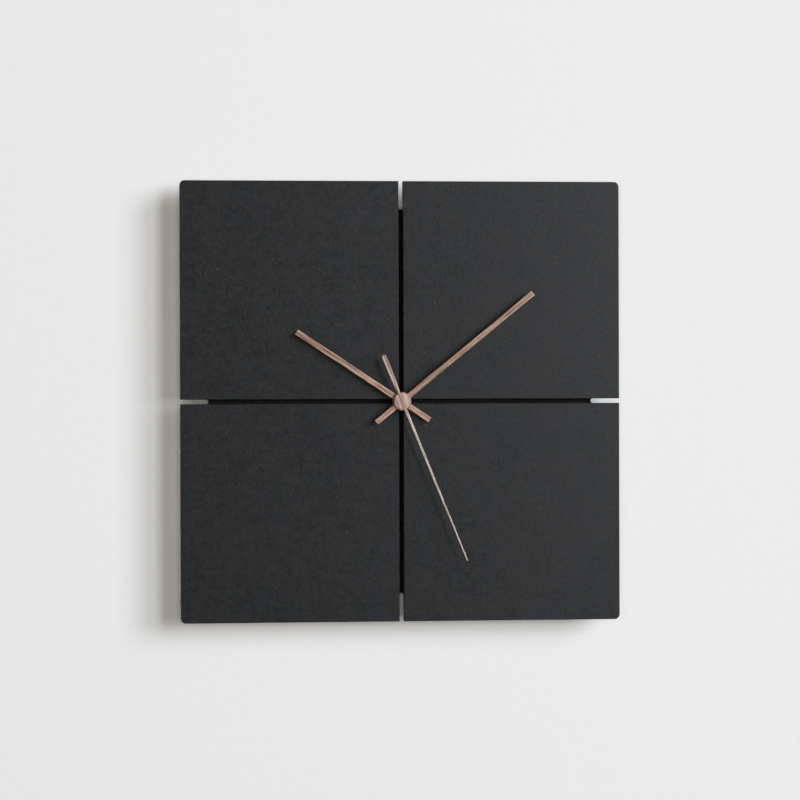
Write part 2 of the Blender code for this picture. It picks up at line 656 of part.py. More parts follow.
def build_case(hands_axis, axes):
    half = CASE_SIDE / 2
    inner = half - CASE_WALL
    floor = CASE_FRONT - CASE_FLOOR
    outside = rounded_rectangle(-half, -half, half, half, CASE_CORNER)
    shell = flat_mesh("front_case", [outside], CASE_BACK, CASE_FRONT)
    case = add_piece("front_case", shell, "black_plastic", hands_axis)
    room_corner = 1.0 * MM
    room = rounded_rectangle(-inner, ROOM_BOTTOM, inner, inner, room_corner, 3)
    bay = rounded_rectangle(-inner, -inner, inner, BAY_TOP, room_corner, 3)
    open_back = CASE_BACK - MM
    shank_hole = rod_mesh("bushing_hole", BUSHING_SHANK_RADIUS + FIT, floor - MM, CASE_FRONT + MM, 20)
    cutters = [
        add_tool(flat_mesh("wheel_room", [room], open_back, floor), hands_axis),
        add_tool(flat_mesh("battery_bay", [bay], open_back, floor), hands_axis),
        add_tool(shank_hole, hands_axis),
    ]
    for name in ("third_axis", "setting_axis"):
        pivot_hole = rod_mesh("front_pivot", PIVOT_RADIUS + FIT, floor - MM, CASE_PIVOT_LEVEL + 0.2 * MM)
        cutters.append(add_tool(pivot_hole, axes[name]))
    # passages for the two contacts, from the battery bay into the wheel room
    for side in (-1, 1):
        low_x, high_x = sorted((side * (inner - 1.4 * MM), side * (inner + 0.2 * MM)))
        low = (low_x, BAY_TOP - 0.5 * MM, open_back)
        high = (high_x, ROOM_BOTTOM + 0.5 * MM, CONTACT_RUN_TOP + 0.5 * MM)
        cutters.append(add_tool(box_mesh("contact_passage", low, high), hands_axis))
    combine(case, "DIFFERENCE", *cutters)
    step_level = MIDDLE_PLATE[1] + GAP
    post_end = COVER_BACK + COVER_THICKNESS + GAP
    root = floor + 0.5 * MM
    thick, thin = POST_RADII
    profile = [
        (0, root), (thick, root), (thick, step_level), (thin, step_level), (thin, post_end), (0, post_end),
    ]
    hole_radius, hole_end = COVER_SCREW_RADIUS + 0.2 * MM, post_end + COVER_SCREW_LENGTH
    for x, y in post_places():
        combine(case, "UNION", add_tool(turned_mesh("post", profile, 10), hands_axis, (x, y, 0)))
        hole = rod_mesh("post_hole", hole_radius, post_end - MM, hole_end, 8)
        combine(case, "DIFFERENCE", add_tool(hole, hands_axis, (x, y, 0)))


def build_cover(hands_axis, axes):
    inner = CASE_SIDE / 2 - CASE_WALL - 0.4 * MM
    front = COVER_BACK + COVER_THICKNESS
    outline = rounded_rectangle(-inner, ROOM_BOTTOM + 0.4 * MM, inner, inner, 0.8 * MM, 3)
    mesh = flat_mesh("back_cover", [outline], COVER_BACK, front)
    cover = add_piece("back_cover", mesh, "black_plastic", hands_axis)
    boss_radius, boss_top, bore = 1.5 * MM, front + 0.9 * MM, SECOND_ARBOR_RADIUS + FIT
    for axis in (hands_axis, axes["middle_axis"], axes["rotor_axis"]):
        boss = rod_mesh("boss", boss_radius, COVER_BACK + 0.4 * MM, boss_top, 14)
        hole = rod_mesh("rear_pivot", bore, front - 0.5 * MM, boss_top + MM, 8)
        combine(cover, "UNION", add_tool(boss, axis))
        combine(cover, "DIFFERENCE", add_tool(hole, axis))
    setting_hole = rod_mesh("setting_hole", SETTING_HOLE_RADIUS, COVER_BACK - MM, front + MM)
    combine(cover, "DIFFERENCE", add_tool(setting_hole, axes["setting_axis"]))
    head_radius, head_height = 1.8 * MM, 0.9 * MM
    for number, (x, y) in enumerate(post_places(), 1):
        hole = rod_mesh("cover_hole", COVER_SCREW_RADIUS + 0.2 * MM, COVER_BACK - MM, front + MM, 10)
        combine(cover, "DIFFERENCE", add_tool(hole, hands_axis, (x, y, 0)))
        seat = (x, y, COVER_BACK - FIT)
        mesh = screw_mesh("cover_screw", head_radius, head_height, COVER_SCREW_RADIUS, COVER_SCREW_LENGTH, 10)
        screw = add_piece("cover_screw_" + str(number), mesh, "zinc_steel", hands_axis, seat)
        cross_recess(screw, hands_axis, seat, head_radius, head_height)


def build_middle_plate(hands_axis, axes):
    low, high = MIDDLE_PLATE
    inner = CASE_SIDE / 2 - CASE_WALL - 0.4 * MM
    bottom = ROOM_BOTTOM + 0.4 * MM
    notch_x, notch_y = LEG_OUTER_X + 0.8 * MM, 18.8 * MM
    outline = [
        (-inner, bottom), (inner, bottom), (inner, inner), (notch_x, inner), (notch_x, notch_y),
        (-notch_x, notch_y), (-notch_x, inner), (-inner, inner),
    ]
    holes = [circle(POST_RADII[1] + GAP, 16, spot) for spot in post_places()]
    second_hub_hole = SECOND_WHEEL_HUB + 0.7 * MM
    holes.append(circle(second_hub_hole, 16))
    for name, radius in (
        ("third_axis", PIVOT_RADIUS + FIT), ("middle_axis", PIVOT_RADIUS + FIT),
        ("rotor_axis", PIVOT_RADIUS + FIT), ("setting_axis", SETTING_HOLE_RADIUS),
    ):
        holes.append(circle(radius, 12, tuple(axes[name].location[:2])))
    mesh = flat_mesh("middle_plate", [outline, *holes], low, high)
    add_piece("middle_plate", mesh, "natural_plastic", hands_axis)


# ---------------------------------------------------------------- wheel train

def build_centre_wheels(hands_axis):
    """The hour wheel, the cannon pinion and the centre wheel, with the tubes of their hands."""
    phase = gap_towards(SETTING_BEARING, HOUR_TEETH)
    bore = sum(HOUR_TUBE) / 2
    wheel = toothed("hour_wheel", HOUR_TEETH, HOUR_MODULE, WHEEL_TOOTH, phase, HOUR_WHEEL_LEVELS, bore)
    piece = add_piece("hour_wheel", wheel, "natural_plastic", hands_axis)
    top = HOUR_HAND_LEVEL + HAND_THICKNESS + TUBE_PROUD
    tube = tube_mesh("hour_tube", HOUR_TUBE[0], HOUR_TUBE[1], HOUR_WHEEL_LEVELS[0], top, 16)
    combine(piece, "UNION", add_tool(tube, hands_axis))

    cannon = toothed(
        "cannon_pinion", CANNON_TEETH, MOTION_MODULE, PINION_TOOTH, SETTING_BEARING, CANNON_LEVELS)
    piece = add_piece("cannon_pinion", cannon, "brass", hands_axis)
    bottom = CENTRE_WHEEL_LEVELS[0]
    top = MINUTE_HAND_LEVEL + HAND_THICKNESS + TUBE_PROUD
    outside = rod_mesh("cannon_outside", CANNON_TUBE[1], bottom, top, 16)
    bore = rod_mesh("cannon_bore", CANNON_TUBE[0], bottom - MM, top + MM, 12)
    combine(piece, "UNION", add_tool(outside, hands_axis))
    combine(piece, "DIFFERENCE", add_tool(bore, hands_axis))

    phase = gap_towards(THIRD_BEARING, CENTRE_TEETH)
    levels, bore = CENTRE_WHEEL_LEVELS, CANNON_TUBE[1] + FIT
    wheel = toothed("centre_wheel", CENTRE_TEETH, CENTRE_MODULE, WHEEL_TOOTH, phase, levels, bore)
    add_piece("centre_wheel", wheel, "brass", hands_axis)


def build_second_wheel(hands_axis):
    """The wheel that the second hand's arbor turns with, and its pinion in front of the plate."""
    wheel_low, wheel_high = SECOND_WHEEL_LEVELS
    pinion_low, pinion_high = SECOND_PINION_LEVELS
    phase = gap_towards(MIDDLE_BEARING, SECOND_TEETH)
    wheel = toothed("second_wheel", SECOND_TEETH, SECOND_MODULE, WHEEL_TOOTH, phase, SECOND_WHEEL_LEVELS)
    piece = add_piece("second_wheel", wheel, "white_plastic", hands_axis)
    hub = rod_mesh("second_hub", SECOND_WHEEL_HUB, wheel_high - JOIN, pinion_low + JOIN)
    pinion = toothed(
        "second_pinion", SECOND_PINION_TEETH, THIRD_MODULE, PINION_TOOTH, THIRD_BEARING, SECOND_PINION_LEVELS)
    bore = rod_mesh("second_bore", SECOND_ARBOR_RADIUS + 0.1 * MM, wheel_low - MM, pinion_high + MM)
    combine(piece, "UNION", add_tool(hub, hands_axis), add_tool(pinion, hands_axis))
    combine(piece, "DIFFERENCE", add_tool(bore, hands_axis))
    arbor = rod_mesh("second_arbor", SECOND_ARBOR_RADIUS, COVER_PIVOT_LEVEL, SECOND_HAND_LEVEL - GAP)
    add_piece("second_arbor", arbor, "spring_steel", hands_axis)


def build_third_wheel(axis):
    back = THIRD_BEARING + math.pi
    phase = gap_towards(back, THIRD_TEETH)
    wheel = toothed("third_wheel", THIRD_TEETH, THIRD_MODULE, WHEEL_TOOTH, phase, THIRD_WHEEL_LEVELS)
    piece = add_piece("third_wheel", wheel, "white_plastic", axis)
    hub = rod_mesh("third_hub", THIRD_WHEEL_HUB, THIRD_WHEEL_LEVELS[1] - JOIN, THIRD_PINION_LEVELS[0] + JOIN)
    pinion = toothed(
        "third_pinion", THIRD_PINION_TEETH, CENTRE_MODULE, PINION_TOOTH, back, THIRD_PINION_LEVELS)
    arbor = rod_mesh("third_arbor", PIVOT_RADIUS, MIDDLE_PLATE[1] - PIVOT_BITE, CASE_PIVOT_LEVEL)
    combine(piece, "UNION", add_tool(hub, axis), add_tool(pinion, axis), add_tool(arbor, axis))


def build_middle_wheel(axis):
    """Wheel between the rotor and the second wheel."""
    phase = gap_towards(ROTOR_BEARING, MIDDLE_TEETH)
    wheel = toothed("intermediate_wheel", MIDDLE_TEETH, ROTOR_MODULE, WHEEL_TOOTH, phase, MIDDLE_WHEEL_LEVELS)
    piece = add_piece("intermediate_wheel", wheel, "red_plastic", axis)
    back = MIDDLE_BEARING + math.pi
    pinion_levels = (MIDDLE_WHEEL_LEVELS[1] - JOIN, MIDDLE_PINION_TOP)
    pinion = toothed(
        "intermediate_pinion", MIDDLE_PINION_TEETH, SECOND_MODULE, PINION_TOOTH, back, pinion_levels)
    arbor = rod_mesh("intermediate_arbor", FINE_PIVOT_RADIUS, COVER_PIVOT_LEVEL, PLATE_PIVOT_LEVEL)
    combine(piece, "UNION", add_tool(pinion, axis), add_tool(arbor, axis))


def build_setting_train(axis):
    """Minute wheel with its pinion, and the knob on the end of its arbor."""
    low, high = MINUTE_WHEEL_LEVELS
    back = SETTING_BEARING + math.pi
    phase = gap_towards(back, MINUTE_TEETH)
    wheel = toothed("minute_wheel", MINUTE_TEETH, MOTION_MODULE, WHEEL_TOOTH, phase, MINUTE_WHEEL_LEVELS)
    piece = add_piece("minute_wheel", wheel, "white_plastic", axis)
    pinion_levels = (high - JOIN, MINUTE_PINION_TOP)
    pinion = toothed("minute_pinion", MINUTE_PINION_TEETH, HOUR_MODULE, PINION_TOOTH, back, pinion_levels)
    pivot = rod_mesh("setting_pivot", PIVOT_RADIUS, high - 2 * JOIN, CASE_PIVOT_LEVEL)
    knob_low, knob_high = KNOB_LEVELS
    arbor = rod_mesh("setting_arbor", SETTING_ARBOR_RADIUS, knob_low + 0.7 * MM, low + JOIN)
    combine(piece, "UNION", add_tool(pinion, axis), add_tool(pivot, axis), add_tool(arbor, axis))

    rib_shape = (0.0, 0.8, 0.75, 0.35)
    ribs = gear_outline(KNOB_RIBS, 2 * KNOB_RADIUS / KNOB_RIBS, rib_shape, 0)
    knob_mesh = flat_mesh("setting_knob", [ribs], knob_low, knob_high)
    knob = add_piece("setting_knob", knob_mesh, "white_plastic", axis)
    socket = rod_mesh("knob_socket", SETTING_ARBOR_RADIUS + FIT, knob_low + 0.4 * MM, knob_high + MM)
    dish_radius, dish_depth = 0.75 * KNOB_RADIUS, 0.3 * MM
    dish = rod_mesh("knob_dish", dish_radius, knob_low - MM, knob_low + dish_depth, 16)
    combine(knob, "DIFFERENCE", add_tool(socket, axis), add_tool(dish, axis))


# ---------------------------------------------------------------- motor, circuit and battery

def build_rotor(axis):
    low, high = STATOR_LEVELS[0] - 0.8 * MM, STATOR_LEVELS[1]
    magnet = tube_mesh("rotor_magnet", MAGNET_RADII[0], MAGNET_RADII[1], low, high, 16)
    add_piece("rotor_magnet", magnet, "magnet", axis)
    back = ROTOR_BEARING + math.pi
    levels = (ROTOR_PINION_BOTTOM, low - 0.1 * MM)
    pinion = toothed("rotor_pinion", ROTOR_PINION_TEETH, ROTOR_MODULE, PINION_TOOTH, back, levels)
    piece = add_piece("rotor_pinion", pinion, "white_plastic", axis)
    hub = rod_mesh("rotor_hub", MAGNET_RADII[0] - FIT, low - 0.17 * MM, high)
    arbor = rod_mesh("rotor_arbor", FINE_PIVOT_RADIUS, COVER_PIVOT_LEVEL, PLATE_PIVOT_LEVEL)
    combine(piece, "UNION", add_tool(hub, axis), add_tool(arbor, axis))


def build_stator(hands_axis, rotor_axis):
    """Yoke of soft iron: a ring round the rotor and two legs up to the ends of the coil."""
    centre = tuple(rotor_axis.location[:2])
    lift = math.degrees(math.asin(YOKE_HALF_WIDTH / STATOR_RING_RADIUS))
    leg_top = COIL_Y + 2.2 * MM
    yoke_low, yoke_high = centre[1] - YOKE_HALF_WIDTH, centre[1] + YOKE_HALF_WIDTH
    outline = [(-LEG_OUTER_X, leg_top), (-LEG_OUTER_X, yoke_low)]
    outline += arc(STATOR_RING_RADIUS, 180 + lift, 360 - lift, 10, centre)
    outline += [(LEG_OUTER_X, yoke_low), (LEG_OUTER_X, leg_top)]
    outline += [(LEG_INNER_X, leg_top), (LEG_INNER_X, yoke_high)]
    outline += arc(STATOR_RING_RADIUS, lift, 180 - lift, 10, centre)
    outline += [(-LEG_INNER_X, yoke_high), (-LEG_INNER_X, leg_top)]
    hole = circle(ROTOR_HOLE_RADIUS, 20, centre)
    yoke = flat_mesh("stator_yoke", [outline, hole], *STATOR_LEVELS)
    add_piece("stator_yoke", yoke, "soft_iron", hands_axis)


def build_coil(hands_axis):
    along_x = (0, math.pi / 2, 0)
    spot = (0, COIL_Y, COIL_Z)
    flange, tube, inset = 3.4 * MM, 2.2 * MM, 0.8 * MM
    half = COIL_HALF_LENGTH
    spool = turned_mesh("coil_bobbin", [
        (0, half), (flange, half), (flange, half - inset), (tube, half - inset),
        (tube, inset - half), (flange, inset - half), (flange, -half), (0, -half),
    ], 16)
    bobbin = add_piece("coil_bobbin", spool, "natural_plastic", hands_axis, spot, along_x)
    core_half_width, core_half_height = 1.5 * MM, 0.35 * MM
    clearance = 0.2 * MM
    window_y, window_z = core_half_width + clearance, core_half_height + clearance
    window = box_mesh("core_window", (-2 * half, -window_y, -window_z), (2 * half, window_y, window_z))
    combine(bobbin, "DIFFERENCE", add_tool(window, hands_axis, spot))
    end = half - inset - FIT
    winding = tube_mesh("coil_winding", tube + FIT, 3.1 * MM, -end, end, 16)
    add_piece("coil_winding", winding, "copper_wire", hands_axis, spot, along_x)
    low = (-LEG_OUTER_X, -core_half_width, -core_half_height)
    high = (LEG_OUTER_X, core_half_width, core_half_height)
    add_piece("coil_core", box_mesh("coil_core", low, high), "soft_iron", hands_axis, spot)


def build_circuit(hands_axis):
    left, bottom, right, top = (edge * MM for edge in (8.8, -10.2, 20.8, 10.6))
    inset, hole_radius = 1.8 * MM, 0.9 * MM
    outline = rounded_rectangle(left, bottom, right, top, 0.6 * MM, 2)
    holes = [circle(hole_radius, 12, (x, top - inset)) for x in (left + inset, right - inset)]
    board = flat_mesh("circuit_board", [outline, *holes], *STATOR_LEVELS)
    add_piece("circuit_board", board, "circuit_green", hands_axis)
    mount = STATOR_LEVELS[0] - 0.1 * MM
    middle_x = (left + right) / 2
    dome = turned_mesh("driver_chip", [
        (0, mount), (3.0 * MM, mount), (2.8 * MM, mount - 0.5 * MM),
        (1.9 * MM, mount - 1.0 * MM), (0, mount - 1.3 * MM),
    ], 14)
    add_piece("driver_chip", dome, "black_epoxy", hands_axis, (middle_x, 2.6 * MM, 0))
    can_radius, can_length = 1.0 * MM, 6.0 * MM
    can = turned_mesh("quartz_crystal", [
        (0, can_length), (0.8 * can_radius, can_length), (can_radius, can_length - 0.3 * MM),
        (can_radius, 0.4 * MM), (0.9 * can_radius, 0), (0, 0),
    ], 12)
    can_at = (middle_x - can_length / 2, -4.6 * MM, mount - can_radius)
    add_piece("quartz_crystal", can, "zinc_steel", hands_axis, can_at, (0, math.pi / 2, 0))
    length, width, height = 2.0 * MM, 1.2 * MM, 0.9 * MM
    chip = box_mesh("capacitor", (0, 0, mount - height), (length, width, mount))
    add_piece("capacitor", chip, "ceramic", hands_axis, (left + 3.2 * MM, bottom + 2.2 * MM, 0))


def build_battery(hands_axis):
    half = BATTERY_LENGTH / 2
    level = CASE_FRONT - CASE_FLOOR - GAP - BATTERY_RADIUS + 0.2 * MM
    easing, button_radius, button_height = 0.7 * MM, 2.6 * MM, 1.0 * MM
    radius = BATTERY_RADIUS
    cell = turned_mesh("aa_battery", [
        (0, half + button_height), (button_radius, half + button_height), (button_radius, half),
        (radius - easing, half), (radius, half - easing), (radius, easing - half),
        (radius - easing, -half), (0, -half),
    ], 24)
    add_piece("aa_battery", cell, "battery_sleeve", hands_axis, (0, BATTERY_Y, level), (0, math.pi / 2, 0))


def build_contacts(hands_axis):
    """Two bent strips that carry current from the battery's ends into the wheel room."""
    sheet = 0.4 * MM
    low, high = 4.6 * MM, 11.0 * MM
    wall_x = CASE_SIDE / 2 - CASE_WALL - 0.6 * MM
    plus_x = BATTERY_LENGTH / 2 + 1.3 * MM
    minus_x = -BATTERY_LENGTH / 2 - 0.6 * MM
    bow = 0.6 * MM
    shoulder_y, pad_end_y = BAY_TOP - 2.3 * MM, BAY_TOP - 0.6 * MM
    run_y, tip_y = ROOM_BOTTOM + 0.8 * MM, ROOM_BOTTOM + 1.6 * MM

    def run_into_room(side, end_x, tip_x):
        run_x = side * wall_x
        return [(run_x, shoulder_y + 0.5 * MM), (run_x, run_y), (end_x, run_y), (tip_x, tip_y)]

    plus_pad = [
        (plus_x, BATTERY_Y - 3.5 * MM), (plus_x, BATTERY_Y + 3.0 * MM),
        (wall_x, shoulder_y), (wall_x, pad_end_y),
    ]
    plus_tab = run_into_room(1, 21.6 * MM, 20.0 * MM)
    minus_pad = [
        (-wall_x, BATTERY_Y - 6.0 * MM), (minus_x - bow, BATTERY_Y - 2.5 * MM), (minus_x, BATTERY_Y),
        (minus_x - bow, BATTERY_Y + 2.5 * MM), (-wall_x, shoulder_y), (-wall_x, pad_end_y),
    ]
    minus_tab = run_into_room(-1, 10.6 * MM, 12.0 * MM)
    for name, pad, tab in (
        ("positive_contact", plus_pad, plus_tab), ("negative_contact", minus_pad, minus_tab),
    ):
        run = flat_mesh(name, [ribbon(tab, sheet)], low, CONTACT_RUN_TOP)
        piece = add_piece(name, run, "spring_steel", hands_axis)
        spring = flat_mesh(name + "_spring", [ribbon(pad, sheet)], low, high)
        combine(piece, "UNION", add_tool(spring, hands_axis))


# ---------------------------------------------------------------- assembly

def build_clock():
    frame = new_empty("clock_frame", None, (0, 0, 0), (math.pi / 2, 0, 0))
    hands_axis = new_empty("hands_axis", frame, (0, -HANG_DROP, 0))
    middle = polar(MIDDLE_DISTANCE, MIDDLE_BEARING)
    places = {
        "third_axis": polar(THIRD_DISTANCE, THIRD_BEARING),
        "middle_axis": middle,
        "rotor_axis": middle + polar(ROTOR_DISTANCE, ROTOR_BEARING),
        "setting_axis": polar(SETTING_DISTANCE, SETTING_BEARING),
    }
    axes = {name: new_empty(name, hands_axis, (*spot, 0)) for name, spot in places.items()}
    build_panel(hands_axis)
    build_bumpers(hands_axis)
    build_hanger(hands_axis)
    build_fixings(hands_axis)
    build_hands(hands_axis)
    build_case(hands_axis, axes)
    build_cover(hands_axis, axes)
    build_middle_plate(hands_axis, axes)
    build_centre_wheels(hands_axis)
    build_second_wheel(hands_axis)
    build_third_wheel(axes["third_axis"])
    build_middle_wheel(axes["middle_axis"])
    build_setting_train(axes["setting_axis"])
    build_rotor(axes["rotor_axis"])
    build_stator(hands_axis, axes["rotor_axis"])
    build_coil(hands_axis)
    build_circuit(hands_axis)
    build_battery(hands_axis)
    build_contacts(hands_axis)


clear_scene()
PARTS = new_collection("wall_clock")
CUTTERS = new_collection("cutters")
build_clock()
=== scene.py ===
import json
import math

import bmesh
import bpy
from mathutils import Matrix, Vector


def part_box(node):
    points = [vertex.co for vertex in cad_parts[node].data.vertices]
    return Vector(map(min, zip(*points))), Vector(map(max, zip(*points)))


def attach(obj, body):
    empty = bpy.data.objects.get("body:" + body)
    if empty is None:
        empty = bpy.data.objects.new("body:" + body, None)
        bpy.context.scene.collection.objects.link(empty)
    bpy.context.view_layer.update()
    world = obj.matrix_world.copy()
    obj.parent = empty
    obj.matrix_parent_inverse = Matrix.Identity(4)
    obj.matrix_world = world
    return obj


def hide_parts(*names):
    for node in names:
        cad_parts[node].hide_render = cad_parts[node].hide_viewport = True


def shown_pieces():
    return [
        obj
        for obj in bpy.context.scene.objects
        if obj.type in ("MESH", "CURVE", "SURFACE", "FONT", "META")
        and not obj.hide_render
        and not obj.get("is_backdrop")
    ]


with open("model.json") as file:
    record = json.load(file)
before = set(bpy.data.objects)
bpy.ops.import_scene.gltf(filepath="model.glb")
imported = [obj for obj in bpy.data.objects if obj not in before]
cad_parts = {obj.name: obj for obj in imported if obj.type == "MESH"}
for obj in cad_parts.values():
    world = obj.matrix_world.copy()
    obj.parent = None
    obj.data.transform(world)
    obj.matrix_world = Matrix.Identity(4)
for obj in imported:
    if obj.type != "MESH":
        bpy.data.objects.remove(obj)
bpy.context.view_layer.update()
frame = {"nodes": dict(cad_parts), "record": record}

MM = 0.001
CORNERS = ("top_left", "top_right", "bottom_left", "bottom_right")
COVER_SCREWS = 4

# Camera, as seen from the middle of the panel's face
CAMERA_DISTANCE = 1.5
CAMERA_YAW = math.radians(4.37)          # towards the clock's left
CAMERA_PITCH = math.radians(0.21)        # above it
CAMERA_ROLL = math.radians(-0.173)
CAMERA_AIM = Vector((-0.88 * MM, 0, 0.89 * MM))
CAMERA_LENS = 99.1

# Wall and light
WALL_HALF = 4.0                          # half of the wall's side
WALL_GREY = 0.80                         # the wall's reflectance
WALL_GRAIN = (90, 170, 90)               # scale of its grain along X, Y and Z
WALL_GRAIN_DEPTH = 0.26 * MM
WINDOW_COLOUR = (0.96, 1.0, 1.055)
FILL_COLOUR = (1.07, 1.0, 0.89)
AMBIENT = 0.05
BACKDROP = 0.80                          # what is seen past the clock from behind the wall
BACK_LIGHTS = (
    # name, place, side of the square and power
    ("back_key", (-1.5, 1.8, 1.4), 1.6, 88),
    ("back_fill", (1.9, 1.5, 0.2), 3.0, 44),
    ("back_low", (0.2, 2.4, -1.6), 2.2, 30),
)

# Materials
# Painted sheen: the pale copper that a hand's long arm is mixed towards, standing in for the light
# it reflects
ARM_SHEEN_COPPER = (0.72, 0.67, 0.66)
BAND_START = 13 * MM                     # the battery's band, right of the battery's middle

# Meshes
MERGE_DISTANCE = 0.001 * MM
FLAT_ANGLE = math.radians(0.5)           # faces closer than this to one plane become one face
SHARP_ANGLE = math.radians(38)           # sharper edges of a CAD mesh are rounded
TURNED_SHARP_ANGLE = math.radians(32)    # sharper edges of a turned solid aren't smoothed
BEVEL_SEGMENTS = 2
ROUND_STEPS = 64                         # steps round a turned solid
SCREW_STEPS = 48                         # and round a screw
EASING_STEPS = 3                         # steps round an eased corner
EASING_LIMIT = 2.1                       # an easing takes at most 1/2.1 of a side
CORNER_STEPS = 6                         # steps round a rectangle's corner
ARROW_STEPS = 28                         # steps along a round arrow
CIRCLE_STEPS = 60                        # steps round a moulded ring
RELIEF_EDGE = 0.04 * MM                  # easing of a moulded mark's rim
SCREW_HEAD = (                           # its outline, in shares of its radius and height
    (0, 0), (0.55, 0.03), (0.86, 0.28), (1, 0.62), (1, 1),
)
MOVEMENT_EDGES = {                       # the widths that edges are rounded by
    "front_case": 0.25 * MM,
    "back_cover": 0.2 * MM,
    "hanger_bracket": 0.12 * MM,
    "setting_knob": 0.12 * MM,
    "rubber_gasket": 0.2 * MM,
    "positive_contact": 0.06 * MM,
    "negative_contact": 0.06 * MM,
}

BODY_OF = {
    node: body for body, nodes in frame["record"]["behaviour"]["bodies"].items() for node in nodes
}
SLOT_OF = {entry["node"]: entry["material_slot"] for entry in frame["record"]["subparts"]}


def middle_of(node):
    """The middle of the box round a CAD node."""
    low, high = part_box(node)
    return (Vector(low) + Vector(high)) / 2


def levels_of(node):
    """The levels of a node's wall side and of its front."""
    low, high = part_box(node)
    return -high[1], -low[1]


def half_width(node):
    """Half of a node's size along X, which is a round node's radius."""
    low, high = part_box(node)
    return (high[0] - low[0]) / 2


PANEL_LOW, PANEL_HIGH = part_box("face_panel")
HANDS_AXIS = middle_of("ring_nut")
FACE_CENTRE = Vector((HANDS_AXIS.x, PANEL_LOW[1], HANDS_AXIS.z))
BACK_CENTRE = Vector((HANDS_AXIS.x, PANEL_HIGH[1], HANDS_AXIS.z))


# ---------------------------------------------------------------- materials

class Shading:
    """A material with a Principled shader, and short calls that add nodes to it."""

    def __init__(self, name, colour, roughness, metallic=0.0, specular=0.5):
        self.material = bpy.data.materials.new(name)
        self.material.use_nodes = True
        self.nodes = self.material.node_tree.nodes
        self.links = self.material.node_tree.links
        self.shader = self.nodes["Principled BSDF"]
        self.shader.inputs["Base Color"].default_value = (*colour, 1)
        self.shader.inputs["Roughness"].default_value = roughness
        self.shader.inputs["Metallic"].default_value = metallic
        self.shader.inputs["Specular IOR Level"].default_value = specular
        self.place = self.nodes.new("ShaderNodeTexCoord").outputs["Object"]

    def link(self, source, target):
        self.links.new(source, target)

    def stretched(self, scale, turn=(0, 0, 0)):
        """Object coordinates, turned and then scaled along each axis."""
        turned = self.nodes.new("ShaderNodeMapping")
        turned.inputs["Rotation"].default_value = turn
        self.link(self.place, turned.inputs["Vector"])
        scaled = self.nodes.new("ShaderNodeMapping")
        scaled.inputs["Scale"].default_value = scale
        self.link(turned.outputs["Vector"], scaled.inputs["Vector"])
        return scaled.outputs["Vector"]

    def axis(self, name, place=None):
        """One coordinate of the object's own or of another place, in metres."""
        split = self.nodes.new("ShaderNodeSeparateXYZ")
        self.link(place or self.place, split.inputs["Vector"])
        return split.outputs[name]

    def noise(self, scale, detail, place=None, roughness=0.5):
        texture = self.nodes.new("ShaderNodeTexNoise")
        texture.inputs["Scale"].default_value = scale
        texture.inputs["Detail"].default_value = detail
        texture.inputs["Roughness"].default_value = roughness
        self.link(place or self.place, texture.inputs["Vector"])
        return texture.outputs["Fac"]

    def span(self, value, low, high, start=0, end=1):
        """Maps low..high of a value to start..end, smoothly and held at the ends."""
        mapped = self.nodes.new("ShaderNodeMapRange")
        mapped.interpolation_type = "SMOOTHSTEP"
        limits = {"From Min": low, "From Max": high, "To Min": start, "To Max": end}
        for socket, number in limits.items():
            mapped.inputs[socket].default_value = number
        self.link(value, mapped.inputs["Value"])
        return mapped.outputs["Result"]

    def plus_share(self, value, share, amount):
        """The value plus a share of an amount."""
        added = self.nodes.new("ShaderNodeMath")
        added.operation = "MULTIPLY_ADD"
        added.inputs[1].default_value = amount
        self.link(share, added.inputs[0])
        self.link(value, added.inputs[2])
        return added.outputs["Value"]

    def mix(self, share, first, second):
        """Colour between first and second, each a colour or another node's output."""
        mixed = self.nodes.new("ShaderNodeMix")
        mixed.data_type = "RGBA"
        self.link(share, mixed.inputs["Factor"])
        for socket, colour in (("A", first), ("B", second)):
            target = next(s for s in mixed.inputs if s.name == socket and s.type == "RGBA")
            if isinstance(colour, tuple):
                target.default_value = (*colour, 1)
            else:
                self.link(colour, target)
        return next(s for s in mixed.outputs if s.type == "RGBA")

    def colour(self, source):
        self.link(source, self.shader.inputs["Base Color"])

    def roughness(self, source):
        self.link(source, self.shader.inputs["Roughness"])

    def metallic(self, source):
        self.link(source, self.shader.inputs["Metallic"])

    def bump(self, height, depth):
        """Bump from a height of 0..1, depth in metres."""
        bump = self.nodes.new("ShaderNodeBump")
        bump.inputs["Strength"].default_value = 1.0
        bump.inputs["Distance"].default_value = depth
        self.link(height, bump.inputs["Height"])
        self.link(bump.outputs["Normal"], self.shader.inputs["Normal"])


